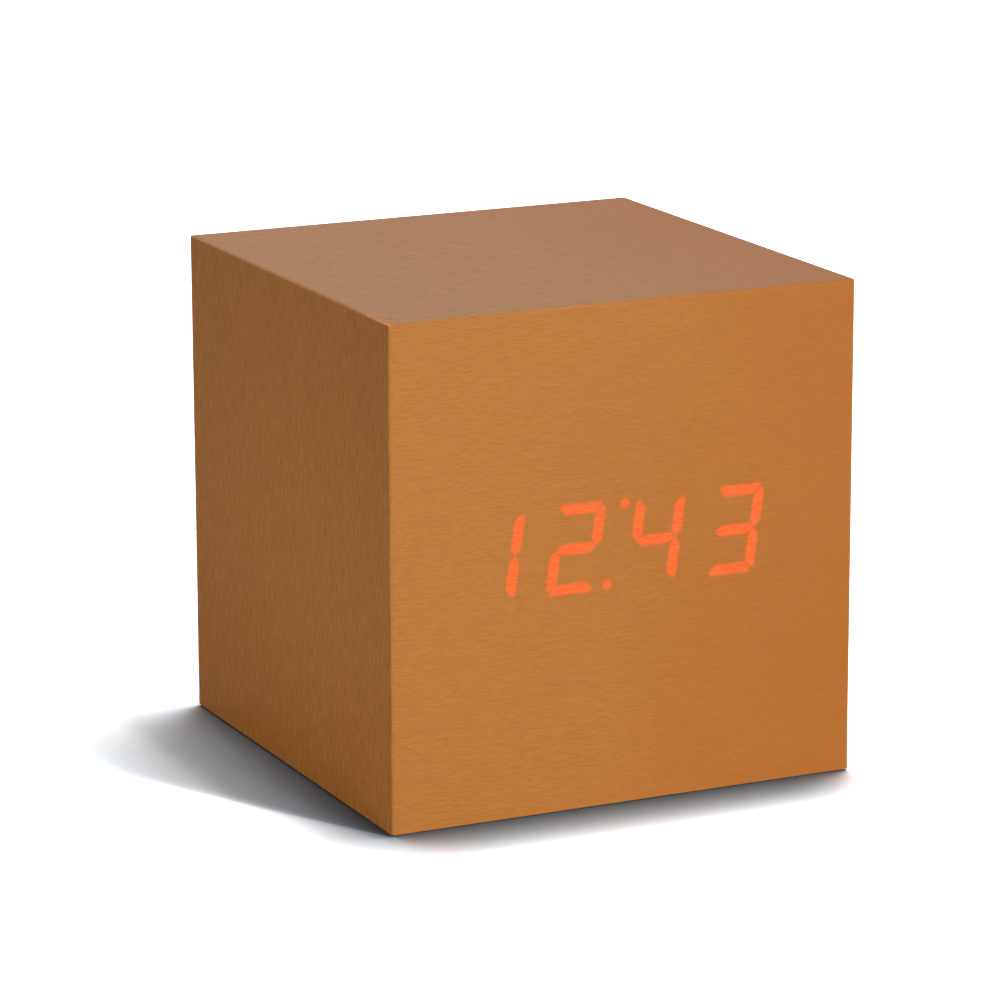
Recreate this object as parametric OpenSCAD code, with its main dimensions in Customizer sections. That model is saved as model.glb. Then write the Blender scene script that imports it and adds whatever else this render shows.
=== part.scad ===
// Digital alarm clock: a film-covered cube whose digits shine through the front.
// Millimetres, +Z up, the front faces -Y, origin on the table under the middle of the cube.

/* [Case] */
// Width of the case, left to right
case_w = 68; // [66:1:84]
// Depth of the case, front to back
case_d = 68; // [66:1:84]
// Height of the case without its feet
case_h = 68; // [62:1:84]
// Thickness of the case boards
board_t = 5; // [4.5:0.25:5.5]
// Thickness of the finish film
film_t = 0.25; // [0.2:0.05:0.4]
// Radius of the film along the folded edges
edge_r = 0.4; // [0.2:0.05:0.5]

/* [Digits] */
// Hours and minutes that the clock shows, one number for each digit
shown_time = [1, 2, 4, 3]; // [0:1:9]
// Height of a digit
digit_h = 12; // [10:0.5:14]
// Width of a digit
digit_w = 7.2; // [6:0.1:7.5]
// Distance between the centres of two digits
digit_pitch = 11.75; // [10.5:0.25:12.5]
// Lean of the digits to the right, in degrees
digit_lean = 8; // [0:1:12]
// Width of a segment's stroke
segment_t = 1.35; // [1:0.05:1.6]
// Gap between two neighbouring segments
segment_gap = 0.16; // [0.12:0.02:0.4]
// Length of a segment's corner that is rounded off
segment_soft = 0.5; // [0.1:0.05:0.6]
// Diameter of a colon dot
dot_d = 1.25; // [1.2:0.05:1.8]
// Sideways distance of a colon dot from the middle of the colon
dot_x = 1.3; // [0.9:0.05:1.5]
// Distance of a colon dot above or below the middle of the colon
dot_z = 5.35; // [3:0.05:6]
// Middle of the display to the right of the middle of the case
display_x = -1.5; // [-2:0.25:2]
// Middle of the display above the lower edge of the case
display_z = 35.6; // [34:0.2:40]

/* [Display module] */
// Thickness of board left between the display and the film
web_t = 1.4; // [1:0.1:2]
// Thickness of the reflector block
reflector_t = 6; // [5:0.25:7]
// Reflector's rim to the side of the digits
reflector_side = 1.2; // [1:0.1:2]
// Reflector's rim above and below the digits
reflector_rim = 2.2; // [1.5:0.1:3]
// Room around the reflector in the front board's pocket
pocket_gap = 0.2; // [0.1:0.05:0.4]
// Room around a light guide in its slot
guide_gap = 0.05; // [0.03:0.01:0.1]
// Depth of the room for the lamps behind the light guides
lamp_room = 1.2; // [1:0.1:2]
// Length, width and height of a lamp chip
lamp_size = [1, 0.5, 0.5]; // [0.3:0.1:1]
// Height of the circuit board's lugs above and below the reflector
display_lug = 5.5; // [5:0.1:6.5]

/* [Battery bay] */
// Diameter of a cell
cell_d = 10.5; // [9.5:0.1:10.8]
// Length of a cell with its nub
cell_l = 44.5; // [42:0.5:45]
// Diameter of a cell's nub
nub_d = 3.8; // [3:0.1:5]
// Length of a cell's nub
nub_l = 1; // [0.8:0.1:1.6]
// Room above, below and between the cells
cell_gap = 0.3; // [0.2:0.05:0.4]
// Thickness of the ribs between the cells
cell_rib = 0.6; // [0.4:0.1:1]
// Thickness of the bay's walls and roof
bay_wall = 1.5; // [1.2:0.1:1.8]
// Thickness of the contact plates
contact_t = 0.4; // [0.3:0.05:0.6]
// Height of the bump on a positive contact
bump_h = 0.6; // [0.4:0.1:0.8]
// Diameter of the spring wire
wire_d = 0.5; // [0.4:0.05:0.55]
// Radius of a spring at its contact
spring_r = 3.4; // [3:0.1:4]
// Radius of a spring at its cell
spring_tip_r = 1.8; // [1.5:0.1:2.2]
// Turns of a spring
spring_turns = 3; // [2:0.25:3]

/* [Base] */
// Height of the case above the table
foot_stand = 0.3; // [0.2:0.1:1]
// Diameter of a foot
foot_d = 5.4; // [4:0.2:6]
// Distance of a foot from the edge of the base plate
foot_rim = 0.5; // [0.3:0.1:0.8]
// Depth of a foot's seat in the base plate
foot_seat = 0.4; // [0.2:0.1:1]
// Depth of the base plate above the lower edge of the case
base_recess = 0.3; // [0.1:0.1:1]
// Thickness of the base plate
base_t = 2.5; // [2.2:0.1:3.5]
// Room around the base plate in the case
base_gap = 0.25; // [0.1:0.05:0.4]
// Thickness of the battery door
door_t = 2; // [1.8:0.1:2.4]
// Room around the battery door
door_gap = 0.2; // [0.15:0.05:0.4]
// Width of the ledge that the door's long edges lie against
door_ledge = 1; // [0.8:0.1:1.2]
// Length of the door beyond each end of a cell
door_end = 1; // [0.5:0.1:1.5]
// Radius of the door's hinge pins
pin_r = 0.65; // [0.5:0.05:0.7]
// Room around a hinge pin
pin_gap = 0.08; // [0.04:0.01:0.1]
// Length of a hinge pin
pin_l = 1.1; // [0.8:0.1:1.2]
// Width of the door's latch tongue
latch_w = 12; // [8:1:18]
// Length of the slots beside the latch tongue
latch_l = 9; // [6:1:12]
// Width of the slots beside the latch tongue
latch_slot = 0.8; // [0.6:0.1:1.2]
// Diameter of the finger scoop at the latch
scoop_d = 12; // [10:1:16]
// Depth of the finger scoop
scoop_t = 1; // [0.6:0.1:1.4]
// Width of a screw block
block_w = 10; // [7:0.5:12]
// Room between a screw block and the battery bay
block_gap = 2; // [1:0.25:3]
// Height of a screw block
block_h = 12; // [10:1:16]
// Distance of a screw block from the middle of the case
block_x = 12.5; // [11:0.5:16]

/* [Rear controls] */
// Width of the window in the back
panel_w = 44; // [40:0.5:50]
// Height of the window in the back
panel_h = 13; // [11.5:0.5:16]
// Corner radius of the window
panel_r = 3; // [1.5:0.5:3.5]
// Middle of the window above the lower edge of the case
panel_z = 34; // [32:1:42]
// Depth of the control panel's face below the back
panel_recess = 1.2; // [0.9:0.1:1.6]
// Room around the control panel in the window
panel_gap = 0.15; // [0.1:0.05:0.3]
// Thickness of the control panel's face
panel_face = 2; // [1.6:0.1:2.2]
// Thickness of the control panel's side walls
panel_wall = 1.2; // [1:0.1:1.4]
// Thickness of the control panel's flange
flange_t = 1.8; // [1.5:0.1:2.4]
// Reach of the flange to the left and right of the window
flange_side = 2.5; // [1.5:0.1:4]
// Reach of the flange above and below the window
flange_rim = 4.5; // [4.4:0.1:6]
// Diameter of a button
button_d = 6; // [4.5:0.25:6.5]
// Height of a button above the panel's face
button_proud = 0.7; // [0.4:0.05:0.8]
// Travel of a button
button_travel = 0.3; // [0.2:0.05:0.5]
// Room around a button in its hole
button_gap = 0.15; // [0.08:0.01:0.2]
// Reach of a button's flange beyond its hole
button_lip = 0.7; // [0.5:0.05:0.8]
// Thickness of a button's flange
button_flange = 1; // [0.8:0.1:1.4]
// Distance of the outer button from its end of the window
button_side = 6.5; // [6:0.25:7]
// Width of a switch body
switch_w = 6; // [5:0.25:6.2]
// Height of a switch body
switch_h = 3.5; // [3:0.1:4]
// Diameter of a switch plunger
plunger_d = 3.5; // [2.5:0.1:3.8]
// Height of a switch plunger above its body
plunger_h = 1; // [0.7:0.1:1.4]
// Depth of a plunger's foot inside its body
plunger_foot = 1; // [0.6:0.1:1.2]
// Room around a plunger in its body
plunger_gap = 0.06; // [0.04:0.01:0.1]

/* [Power socket] */
// Outer width of the socket's shell
usb_w = 7.7; // [7:0.1:8.2]
// Outer height of the socket's shell
usb_h = 4; // [3.6:0.1:4.4]
// Sheet thickness of the shell
usb_wall = 0.35; // [0.25:0.05:0.4]
// Height of the shell above the panel's face
usb_proud = 0.3; // [0:0.1:0.5]
// Distance of the socket from its end of the window
usb_side = 7.5; // [6.5:0.25:8]
// Room around the socket in the panel
usb_gap = 0.25; // [0.15:0.05:0.4]
// Depth of the socket's mouth
usb_depth = 5.5; // [4.5:0.25:6]
// Width and thickness of the tongue in the mouth
tongue_size = [4.2, 1.1]; // [0.8:0.1:5]

/* [Circuit boards] */
// Thickness of the circuit boards
pcb_t = 1.6; // [1:0.1:2]
// Room between the main board's ends and the sides of the case
main_side = 0.75; // [0.5:0.05:1]
// Height of the posts under the main board
post_h = 3; // [2:0.5:4]
// Diameter of a post
post_d = 4.4; // [4:0.1:5]
// Distance of a post from the edges of its board
post_inset = 2.4; // [2.3:0.1:3]
// Thickness of the ribbon cables
ribbon_t = 1; // [0.8:0.1:1.2]
// Width of the ribbon cables
ribbon_w = 12.7; // [8:0.1:13]
// Bend radius of the ribbon cables
ribbon_r = 2.5; // [2:0.25:3]
// Width, depth and height of a ribbon header
header_size = [14.5, 5, 4]; // [3:0.5:15]
// Level run of a ribbon cable before its bend
ribbon_run = 3; // [1:0.25:4]
// Middle of the ribbon cables to the right of the middle of the case
ribbon_x = 9; // [8:0.25:12]
// Diameter of the backup cell
coin_d = 20; // [16:0.5:20.5]
// Thickness of the backup cell
coin_t = 3.2; // [1.6:0.1:4]
// Thickness of the backup cell holder's rim
coin_rim = 1.6; // [1.2:0.1:2]
// Diameter of the sounder
buzzer_d = 12; // [9:0.5:12.5]
// Height of the sounder
buzzer_h = 8.5; // [5:0.5:9]
// Diameter of the microphone
mic_d = 6; // [4:0.5:6.5]
// Height of the microphone
mic_h = 2.7; // [1.5:0.1:5]
// Length, width and height of the processor
processor_size = [9.9, 3.9, 1.6]; // [1:0.1:12]
// Length, width and height of the timekeeper chip
timekeeper_size = [4.9, 3.9, 1.5]; // [1:0.1:6]
// Diameter and length of the crystal
crystal_size = [2, 6]; // [1.5:0.1:8]
// Diameter and height of a capacitor
capacitor_size = [4, 5.4]; // [3:0.1:8]
// Room between parts on the main board
part_gap = 1; // [0.6:0.1:1.4]

/* [Screws] */
// Diameter of a small screw's shank
screw_d = 2; // [1.6:0.1:2.2]
// Diameter of a small screw's head
screw_head_d = 3.8; // [3:0.1:4]
// Height of a small screw's head
screw_head_h = 1.3; // [1:0.1:1.6]
// Depth of a small screw in board or post
screw_bite = 3; // [2:0.1:3.4]
// Diameter of a base screw's shank
base_screw_d = 2.2; // [2:0.1:2.6]
// Diameter of a base screw's head
base_screw_head_d = 4.2; // [3.8:0.1:4.8]
// Length of a base screw
base_screw_l = 10; // [8:0.5:12]
// Room around a screw's shank
screw_gap = 0.05; // [0.02:0.01:0.1]

/* [Hidden] */
$fn = 48;
eps = 0.01;

film_colour = "#bd7a3e";
mdf_colour = "#8a6748";
lit_colour = "#ff6a36";
black_colour = "#1b1b1d";
steel_colour = "#b9bcc0";
pcb_colour = "#1f5a38";

// Levels above the table
case_z = foot_stand;
case_top = case_z + case_h;
base_z = case_z + base_recess;
base_top = base_z + base_t;
ledge_z = base_z + door_t + door_gap / 2;
cell_z = ledge_z + cell_gap + cell_d / 2;
roof_z = ledge_z + 2 * cell_gap + cell_d;
roof_top = roof_z + bay_wall;
pcb_z = roof_top + post_h;
pcb_top = pcb_z + pcb_t;
window_z = case_z + panel_z;
digits_z = case_z + display_z;

// Depths behind the front
skin_t = film_t + board_t;
front_y = -case_d / 2;
web_y = front_y + film_t + web_t;
lamp_y = web_y + reflector_t;
display_back_y = lamp_y + pcb_t;

// Depths below the back, counted inwards
panel_back_t = skin_t + flange_t;
button_stop_t = panel_recess + panel_face;
plunger_top_t = button_stop_t + screw_gap + button_flange;
switch_top_t = plunger_top_t + plunger_h;
control_pcb_t = switch_top_t + switch_h;
control_back_t = control_pcb_t + pcb_t;
usb_mouth_t = panel_recess - usb_proud;

// Inside of the case
in_w = case_w - 2 * skin_t;
in_d = case_d - 2 * skin_t;

// Display
lean_x = digit_h / 2 * tan(digit_lean);
reflector_w = 3 * digit_pitch + digit_w + 2 * (lean_x + reflector_side);
reflector_h = digit_h + 2 * reflector_rim;
display_pcb_h = reflector_h + 2 * display_lug;
display_hole = [reflector_w / 2 - post_inset, display_pcb_h / 2 - post_inset];
SEGMENTS = ["a", "b", "c", "d", "e", "f", "g"];
LIT = ["abcdef", "bc", "abged", "abgcd", "fgbc", "afgcd", "afgcde", "abc", "abcdefg", "abcdfg"];

// Battery bay
cell_pitch = cell_d + 2 * cell_gap + cell_rib;
bay_w = in_w - 2 * (base_gap + bay_wall);
spring_l = bay_w - cell_l - bump_h - 2 * contact_t;
bay_out_w = bay_w + 2 * bay_wall;
bay_d = 2 * cell_pitch + cell_d + 2 * cell_gap;
bay_out_d = bay_d + 2 * bay_wall;
door_w = cell_l + 2 * door_end;
door_d = bay_d + 2 * door_ledge;
hinge_y = -door_d / 2 + door_t / 2;
hinge_z = base_z + door_t / 2;
foot_x = in_w / 2 - base_gap - foot_d / 2 - foot_rim - door_gap;
foot_y = in_d / 2 - base_gap - foot_d / 2 - foot_rim - door_gap;
block_d = (in_d - bay_out_d) / 2 - block_gap;
block_y = in_d / 2 - block_d / 2;
contact_h = cell_d - 1;
contact_w = cell_d - 1.5;
tail_w = 2;
tail_gap = 0.15;
tail_out = 0.8;

// Main board
main_w = in_w - 2 * main_side;
front_header_y = display_back_y + header_size[2] + ribbon_run + ribbon_r;
rear_header_y = case_d / 2 - control_back_t - header_size[2] - ribbon_run - ribbon_r;
main_front_y = min(-bay_out_d / 2, front_header_y - header_size[1] / 2 - part_gap);
main_back_y = max(bay_out_d / 2, rear_header_y + header_size[1] / 2 + part_gap);
coin_holder_d = coin_d + 2 * coin_rim;
coin_x = -main_w / 2 + part_gap + coin_holder_d / 2;
chips_x = coin_x + coin_holder_d / 2 + part_gap;
lead_l = 1.05;
lead_t = 0.25;
timekeeper_x = chips_x + processor_size[0] + part_gap;
crystal_x = timekeeper_x + timekeeper_size[0] + part_gap + crystal_size[0] / 2;
capacitor_x = crystal_x + (crystal_size[0] + capacitor_size[0]) / 2 + part_gap;

// Parts on the back of the display board
buzzer_x = display_x - reflector_w / 2 + part_gap + buzzer_d / 2;
mic_x = ribbon_x - header_size[0] / 2 - part_gap - mic_d / 2;

// Rear controls
flange_w = panel_w + 2 * flange_side;
flange_h = panel_h + 2 * flange_rim;
plunger_bore = plunger_foot + button_travel + 2 * button_gap;
cavity_w = panel_w - 2 * (panel_gap + panel_wall);
cavity_h = panel_h - 2 * (panel_gap + panel_wall);
usb_x = panel_w / 2 - usb_side;
button_x = panel_w / 2 - button_side;
button_pitch = (button_x + usb_x) / 3;
flange_row = panel_h / 2 + flange_rim / 2;
control_post = [panel_w / 2 + flange_side - post_inset, flange_row];
panel_screw = [control_post[0] - post_d - screw_head_d, flange_row];
tongue_in = 1;
strip_t = 0.2;

// Blocks with an outline seen along X, Y or Z, from one level to another
module along_x(from, to) translate([from, 0, 0]) rotate([90, 0, 90]) linear_extrude(to - from) children();
module along_y(from, to) translate([0, to, 0]) rotate([90, 0, 0]) linear_extrude(to - from) children();
module along_z(from, to) translate([0, 0, from]) linear_extrude(to - from) children();
// The same between two depths below the back
module along_back(from, to) along_y(case_d / 2 - to, case_d / 2 - from) children();

// A place on the back, with +Z pointing into the case
module on_back(x, z, t) translate([x, case_d / 2 - t, z]) rotate([90, 0, 0]) children();
// A place on the back of the display board, with +Z pointing into the case
module on_display_back(x) translate([x, display_back_y, digits_z]) rotate([-90, 0, 0]) children();
// Four corners of a rectangle
module at_corners(x, y) for (i = [-1, 1], j = [-1, 1]) translate([i * x, j * y, 0]) children();

// A rectangle with round corners, about the origin
module round_rect(w, h, r) {
    square([w - 2 * r, h], center = true);
    square([w, h - 2 * r], center = true);
    for (i = [-1, 1], j = [-1, 1]) translate([i * (w / 2 - r), j * (h / 2 - r)]) circle(r);
}

// A cross-head screw: the head stands above z = 0 and the shank goes below it
module pan_screw(length) {
    difference() {
        union() {
            cylinder(d = screw_head_d, h = screw_head_h);
            translate([0, 0, -length]) cylinder(d = screw_d, h = length + eps);
        }
        translate([0, 0, screw_head_h]) cross_slot(screw_head_d * 0.6, screw_head_h * 0.6);
    }
}

// The cross in a screw's head, cut down from z = 0
module cross_slot(size, deep) {
    for (turn = [0, 90]) rotate(turn)
        translate([-size / 2, -size / 10, -deep]) cube([size, size / 5, deep + 1]);
}

// Case: mitred boards and film

// Half width, half depth and top of the box that lies a given distance inside the case
function box_at(inset) = [case_w / 2 - inset, case_d / 2 - inset, case_top - inset];

// The front wall between two such boxes, mitred at the sides and the top
module front_wall(outer, inner) {
    a = box_at(outer);
    b = box_at(inner);
    intersection() {
        along_z(case_z, case_top) polygon([[-a[0], -a[1]], [a[0], -a[1]], [b[0], -b[1]], [-b[0], -b[1]]]);
        along_x(-case_w, case_w) polygon([[-a[1], case_z], [-b[1], case_z], [-b[1], b[2]], [-a[1], a[2]]]);
    }
}

module back_wall(outer, inner) mirror([0, 1, 0]) front_wall(outer, inner);

// The left wall between two such boxes, mitred in the same way
module left_wall(outer, inner) {
    a = box_at(outer);
    b = box_at(inner);
    intersection() {
        along_z(case_z, case_top) polygon([[-a[0], -a[1]], [-b[0], -b[1]], [-b[0], b[1]], [-a[0], a[1]]]);
        along_y(-case_d, case_d) polygon([[-a[0], case_z], [-b[0], case_z], [-b[0], b[2]], [-a[0], a[2]]]);
    }
}

// The top between two such boxes, mitred on all four sides
module top_wall(outer, inner) {
    a = box_at(outer);
    b = box_at(inner);
    intersection() {
        along_y(-case_d, case_d) polygon([[-a[0], a[2]], [a[0], a[2]], [b[0], b[2]], [-b[0], b[2]]]);
        along_x(-case_w, case_w) polygon([[-a[1], a[2]], [a[1], a[2]], [b[1], b[2]], [-b[1], b[2]]]);
    }
}

// A square-cornered outline whose upper corners are rounded
module arch_outline(w) {
    translate([-w / 2, case_z]) square([w, case_h - edge_r]);
    translate([-w / 2 + edge_r, case_z]) square([w - 2 * edge_r, case_h]);
    for (i = [-1, 1]) translate([i * (w / 2 - edge_r), case_top - edge_r]) circle(edge_r);
}

// The outside of the film, with every edge but the lowest ones rounded
module outside() {
    intersection() {
        along_z(case_z, case_top) round_rect(case_w, case_d, edge_r);
        along_y(-case_d, case_d) arch_outline(case_w);
        along_x(-case_w, case_w) arch_outline(case_d);
    }
}

module window(clearance) translate([0, window_z])
    round_rect(panel_w - 2 * clearance, panel_h - 2 * clearance, panel_r - clearance);

module front_board() color(mdf_colour) difference() {
    front_wall(film_t, skin_t);
    along_y(web_y, front_y + skin_t + eps) translate([display_x, digits_z])
        square([reflector_w + 2 * pocket_gap, reflector_h + 2 * pocket_gap], center = true);
    along_y(front_y, web_y + eps) all_segments(0);
    along_y(front_y + skin_t - screw_bite - screw_gap, front_y + skin_t + 1) display_holes()
        circle(d = screw_d + 2 * screw_gap);
}

module top_board() color(mdf_colour) top_wall(film_t, skin_t);

module left_board() color(mdf_colour) left_wall(film_t, skin_t);

module right_board() color(mdf_colour) mirror([1, 0, 0]) left_wall(film_t, skin_t);

module back_board() color(mdf_colour) difference() {
    back_wall(film_t, skin_t);
    along_y(0, case_d) window(0);
    along_back(skin_t - screw_bite - screw_gap, skin_t + 1) panel_holes() circle(d = screw_d + 2 * screw_gap);
}

// Blocks glued to the front and back boards, which take the base screws
module screw_blocks() color(mdf_colour) at_corners(block_x, block_y) difference() {
    along_z(base_top, base_top + block_h) square([block_w, block_d], center = true);
    along_z(base_top - 1, base_top + base_screw_l - base_t + 1) circle(d = base_screw_d + 2 * screw_gap);
}

// Film over the front, top and back in one strip
module wrap_film() color(film_colour) difference() {
    intersection() {
        outside();
        union() {
            front_wall(0, film_t);
            top_wall(0, film_t);
            back_wall(0, film_t);
        }
    }
    along_y(front_y - 1, 0) shown_segments();
    along_y(0, case_d) window(0);
}

module left_film() color(film_colour) intersection() {
    outside();
    left_wall(0, film_t);
}

module right_film() color(film_colour) mirror([1, 0, 0]) left_film();

// Display

// How far a mitred end stands back from its corner, for an outline drawn in by c
function mitre(c) = (segment_gap / 2 + c) * sqrt(2);

// The top bar of a digit about the digit's middle
function top_bar(c) = let (
        k = mitre(c),
        outer = [digit_w / 2 - c - k, digit_h / 2 - c],
        inner = [digit_w / 2 - segment_t + c - k, digit_h / 2 - segment_t + c]
    ) [[-outer[0], outer[1]], outer, inner, [-inner[0], inner[1]]];

// The middle bar, pointed at both ends
function middle_bar(c) = let (
        half = segment_t / 2 - c,
        tip = digit_w / 2 - segment_t / 2 - mitre(c),
        end = tip - half
    ) [[-tip, 0], [-end, half], [end, half], [tip, 0], [end, -half], [-end, -half]];

// The upper right upright, mitred at the top and pointed at the middle
function right_post(c) = let (
        k = mitre(c),
        half = segment_t / 2 - c,
        middle = digit_w / 2 - segment_t / 2,
        outer = middle + half,
        inner = middle - half,
        top = digit_h / 2 - segment_t / 2 - k
    ) [[outer, top + half], [inner, top - half], [inner, half + k], [middle, k], [outer, half + k]];

function flipped(points, x, z) = [for (p = points) [x * p[0], z * p[1]]];

function segment(name, c) =
    name == "a" ? top_bar(c) :
    name == "b" ? right_post(c) :
    name == "c" ? flipped(right_post(c), 1, -1) :
    name == "d" ? flipped(top_bar(c), 1, -1) :
    name == "e" ? flipped(right_post(c), -1, -1) :
    name == "f" ? flipped(right_post(c), -1, 1) :
    middle_bar(c);

// The middle of a segment, where its lamp sits
function segment_middle(name) = let (
        x = digit_w / 2 - segment_t / 2,
        z = digit_h / 2 - segment_t / 2
    )
    name == "a" ? [0, z] :
    name == "b" ? [x, z / 2] :
    name == "c" ? [x, -z / 2] :
    name == "d" ? [0, -z] :
    name == "e" ? [-x, -z / 2] :
    name == "f" ? [-x, z / 2] :
    [0, 0];

function leaned(p) = [p[0] + p[1] * tan(digit_lean), p[1]];
function digit_x(i) = display_x + (i - 1.5) * digit_pitch;
function unit(v) = v / norm(v);

// An outline whose corners are curves that start a given length before each corner
function softened(points, length, steps = 3) = [
    for (i = [0 : len(points) - 1])
        let (
            p = points[i],
            before = points[(i + len(points) - 1) % len(points)] - p,
            after = points[(i + 1) % len(points)] - p,
            a = p + unit(before) * min(length, norm(before) * 0.45),
            b = p + unit(after) * min(length, norm(after) * 0.45)
        )
        for (s = [0 : steps])
            let (u = s / steps) (1 - u) * (1 - u) * a + 2 * u * (1 - u) * p + u * u * b
];

module on_digit(i) translate([digit_x(i), digits_z]) children();

// The two places of the colon's dots, which lean more than the digits do
module at_dots() translate([display_x, digits_z])
    for (side = [-1, 1]) translate([side * dot_x, side * dot_z]) children();

// Every segment and both colon dots, drawn in by c
module all_segments(c) {
    for (i = [0 : 3], name = SEGMENTS)
        on_digit(i) polygon([for (p = segment(name, c)) leaned(p)]);
    at_dots() circle(d = dot_d - 2 * c);
}

// The segments that the shown time lights, and the colon
module shown_segments() {
    for (i = [0 : 3], name = LIT[shown_time[i]])
        on_digit(i) polygon([for (p = softened(segment(name, 0), segment_soft)) leaned(p)]);
    at_dots() circle(d = dot_d);
}

// The spots of film that glow in front of lit segments
module lit_segments() color(lit_colour) along_y(front_y, front_y + film_t) shown_segments();

// Clear bars that carry the light through the front board
module light_guides() color("#f2d8c8")
    along_y(front_y + film_t, lamp_y - lamp_room) all_segments(guide_gap);

// Block with a light well for each segment
module display_reflector() color("#e8e8e4") along_y(web_y, lamp_y) difference() {
    translate([display_x, digits_z]) square([reflector_w, reflector_h], center = true);
    all_segments(0);
}

// One lamp chip behind each segment and each dot
module display_lamps() color("#f4e9c8") along_y(lamp_y - lamp_size[2], lamp_y) {
    for (i = [0 : 3], name = SEGMENTS) on_digit(i) translate(leaned(segment_middle(name)))
        rotate(segment_middle(name)[0] == 0 ? 0 : 90) square([lamp_size[0], lamp_size[1]], center = true);
    at_dots() square([lamp_size[0], lamp_size[1]], center = true);
}

// The four places of the display board's screws
module display_holes() translate([display_x, digits_z]) at_corners(display_hole[0], display_hole[1]) children();

module display_pcb() color(pcb_colour) along_y(lamp_y, display_back_y) difference() {
    translate([display_x, digits_z]) square([reflector_w, display_pcb_h], center = true);
    display_holes() circle(d = screw_d + 4 * screw_gap);
}

// Tubes that hold the display board off the front board
module display_spacers() color("#d8d8d2") along_y(front_y + skin_t, lamp_y) display_holes() difference() {
    circle(d = post_d);
    circle(d = screw_d + 4 * screw_gap);
}

module display_screws() color(steel_colour)
    for (i = [-1, 1], j = [-1, 1])
        translate([display_x + i * display_hole[0], display_back_y, digits_z + j * display_hole[1]])
            rotate([-90, 0, 0]) pan_screw(display_back_y - front_y - skin_t + screw_bite);

module display_header() color(black_colour)
    along_y(display_back_y, display_back_y + header_size[2]) translate([ribbon_x, digits_z])
        square([header_size[0], header_size[1]], center = true);

// A flat cable: back from its board at a given level, round a bend, then down to a header at y = 0
module ribbon(level) along_x(ribbon_x - ribbon_w / 2, ribbon_x + ribbon_w / 2) {
    end = pcb_top + header_size[2];
    translate([-ribbon_r - ribbon_run, level - ribbon_t / 2]) square([ribbon_run, ribbon_t]);
    translate([-ribbon_t / 2, end]) square([ribbon_t, level - ribbon_r - end]);
    translate([-ribbon_r, level - ribbon_r]) intersection() {
        difference() {
            circle(ribbon_r + ribbon_t / 2);
            circle(ribbon_r - ribbon_t / 2);
        }
        square(ribbon_r + ribbon_t);
    }
}

// Cable from the display board back and down to the main board
module display_ribbon() color("#8f9296") translate([0, front_header_y, 0]) ribbon(digits_z);

// Base with its battery bay and door

// The base plate and, above it, the shell of the battery bay
module base_plate() color(black_colour) difference() {
    union() {
        along_z(base_z, base_top) square([in_w - 2 * base_gap, in_d - 2 * base_gap], center = true);
        along_z(base_z, roof_top) square([bay_out_w, bay_out_d], center = true);
        along_z(roof_top - eps, pcb_z) main_posts() circle(d = post_d);
    }
    along_z(base_z - 1, ledge_z) square([door_w + 2 * door_gap, door_d + 2 * door_gap], center = true);
    difference() {
        along_z(ledge_z - eps, roof_z) square([bay_w, bay_d], center = true);
        for (side = [-1, 1]) along_z(cell_z, roof_z) translate([0, side * cell_pitch / 2])
            square([cell_l - 10, cell_rib], center = true);
    }
    along_x(-door_w / 2 - pin_l - door_gap, door_w / 2 + pin_l + door_gap)
        translate([hinge_y, hinge_z]) circle(pin_r + pin_gap);
    along_z(base_z - 1, base_z + scoop_t) intersection() {
        translate([0, door_d / 2]) circle(d = scoop_d);
        translate([-scoop_d, door_d / 2]) square([2 * scoop_d, scoop_d]);
    }
    along_z(base_z - 1, base_z + foot_seat) at_corners(foot_x, foot_y) circle(d = foot_d + 2 * door_gap);
    at_corners(block_x, block_y) {
        along_z(base_z - 1, base_top + 1) circle(d = base_screw_d + 4 * screw_gap);
        translate([0, 0, base_z - eps]) base_screw_head(2 * screw_gap);
    }
    along_z(pcb_z - screw_bite - screw_gap, pcb_z + 1) main_posts() circle(d = screw_d + 2 * screw_gap);
    along_z(roof_z - 1, roof_top + 1) for (place = TAILS) translate(place) tail_outline(tail_gap);
}

module main_posts() at_corners(main_w / 2 - post_inset, bay_out_d / 2 - post_inset) children();

// The countersunk head of a base screw, from its rim at z = 0 upwards
module base_screw_head(room) {
    deep = (base_screw_head_d - base_screw_d) / 2;
    cylinder(d1 = base_screw_head_d + 2 * room, d2 = base_screw_d + 2 * room, h = deep);
}

module base_screws() color(steel_colour) at_corners(block_x, block_y) translate([0, 0, base_z])
    difference() {
        union() {
            base_screw_head(0);
            cylinder(d = base_screw_d, h = base_screw_l);
        }
        rotate([180, 0, 0]) cross_slot(base_screw_head_d * 0.55, base_screw_head_d * 0.2);
    }

module feet() color("#2a2a2c") at_corners(foot_x, foot_y) along_z(0, base_z + foot_seat) circle(d = foot_d);

// Door with a round hinge edge, pins at its ends, and a latch tongue cut free by two slots
module battery_door() color(black_colour) difference() {
    union() {
        along_x(-door_w / 2, door_w / 2) {
            translate([hinge_y, base_z]) square([door_d - door_t / 2, door_t]);
            translate([hinge_y, hinge_z]) circle(d = door_t);
        }
        along_x(-door_w / 2 - pin_l, door_w / 2 + pin_l) translate([hinge_y, hinge_z]) circle(pin_r);
    }
    for (side = [-1, 1]) along_z(base_z - 1, ledge_z + 1)
        translate([side * (latch_w + latch_slot) / 2, door_d / 2 - latch_l / 2 + eps])
            square([latch_slot, latch_l], center = true);
    for (k = [1 : 3]) along_x(-latch_w / 2 + 1.5, latch_w / 2 - 1.5)
        translate([door_d / 2 - 1.6 * k, base_z]) circle(r = 0.4);
}

// Middle and direction of each cell: 1 has its nub to the right
CELLS = [[-cell_pitch, -1], [0, 1], [cell_pitch, -1]];
// Places where the bay's two outer contacts come up through the roof to the main board
TAILS = [[-bay_w / 2 + contact_t / 2, CELLS[0][0]], [bay_w / 2 - contact_t / 2, CELLS[2][0]]];

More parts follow.
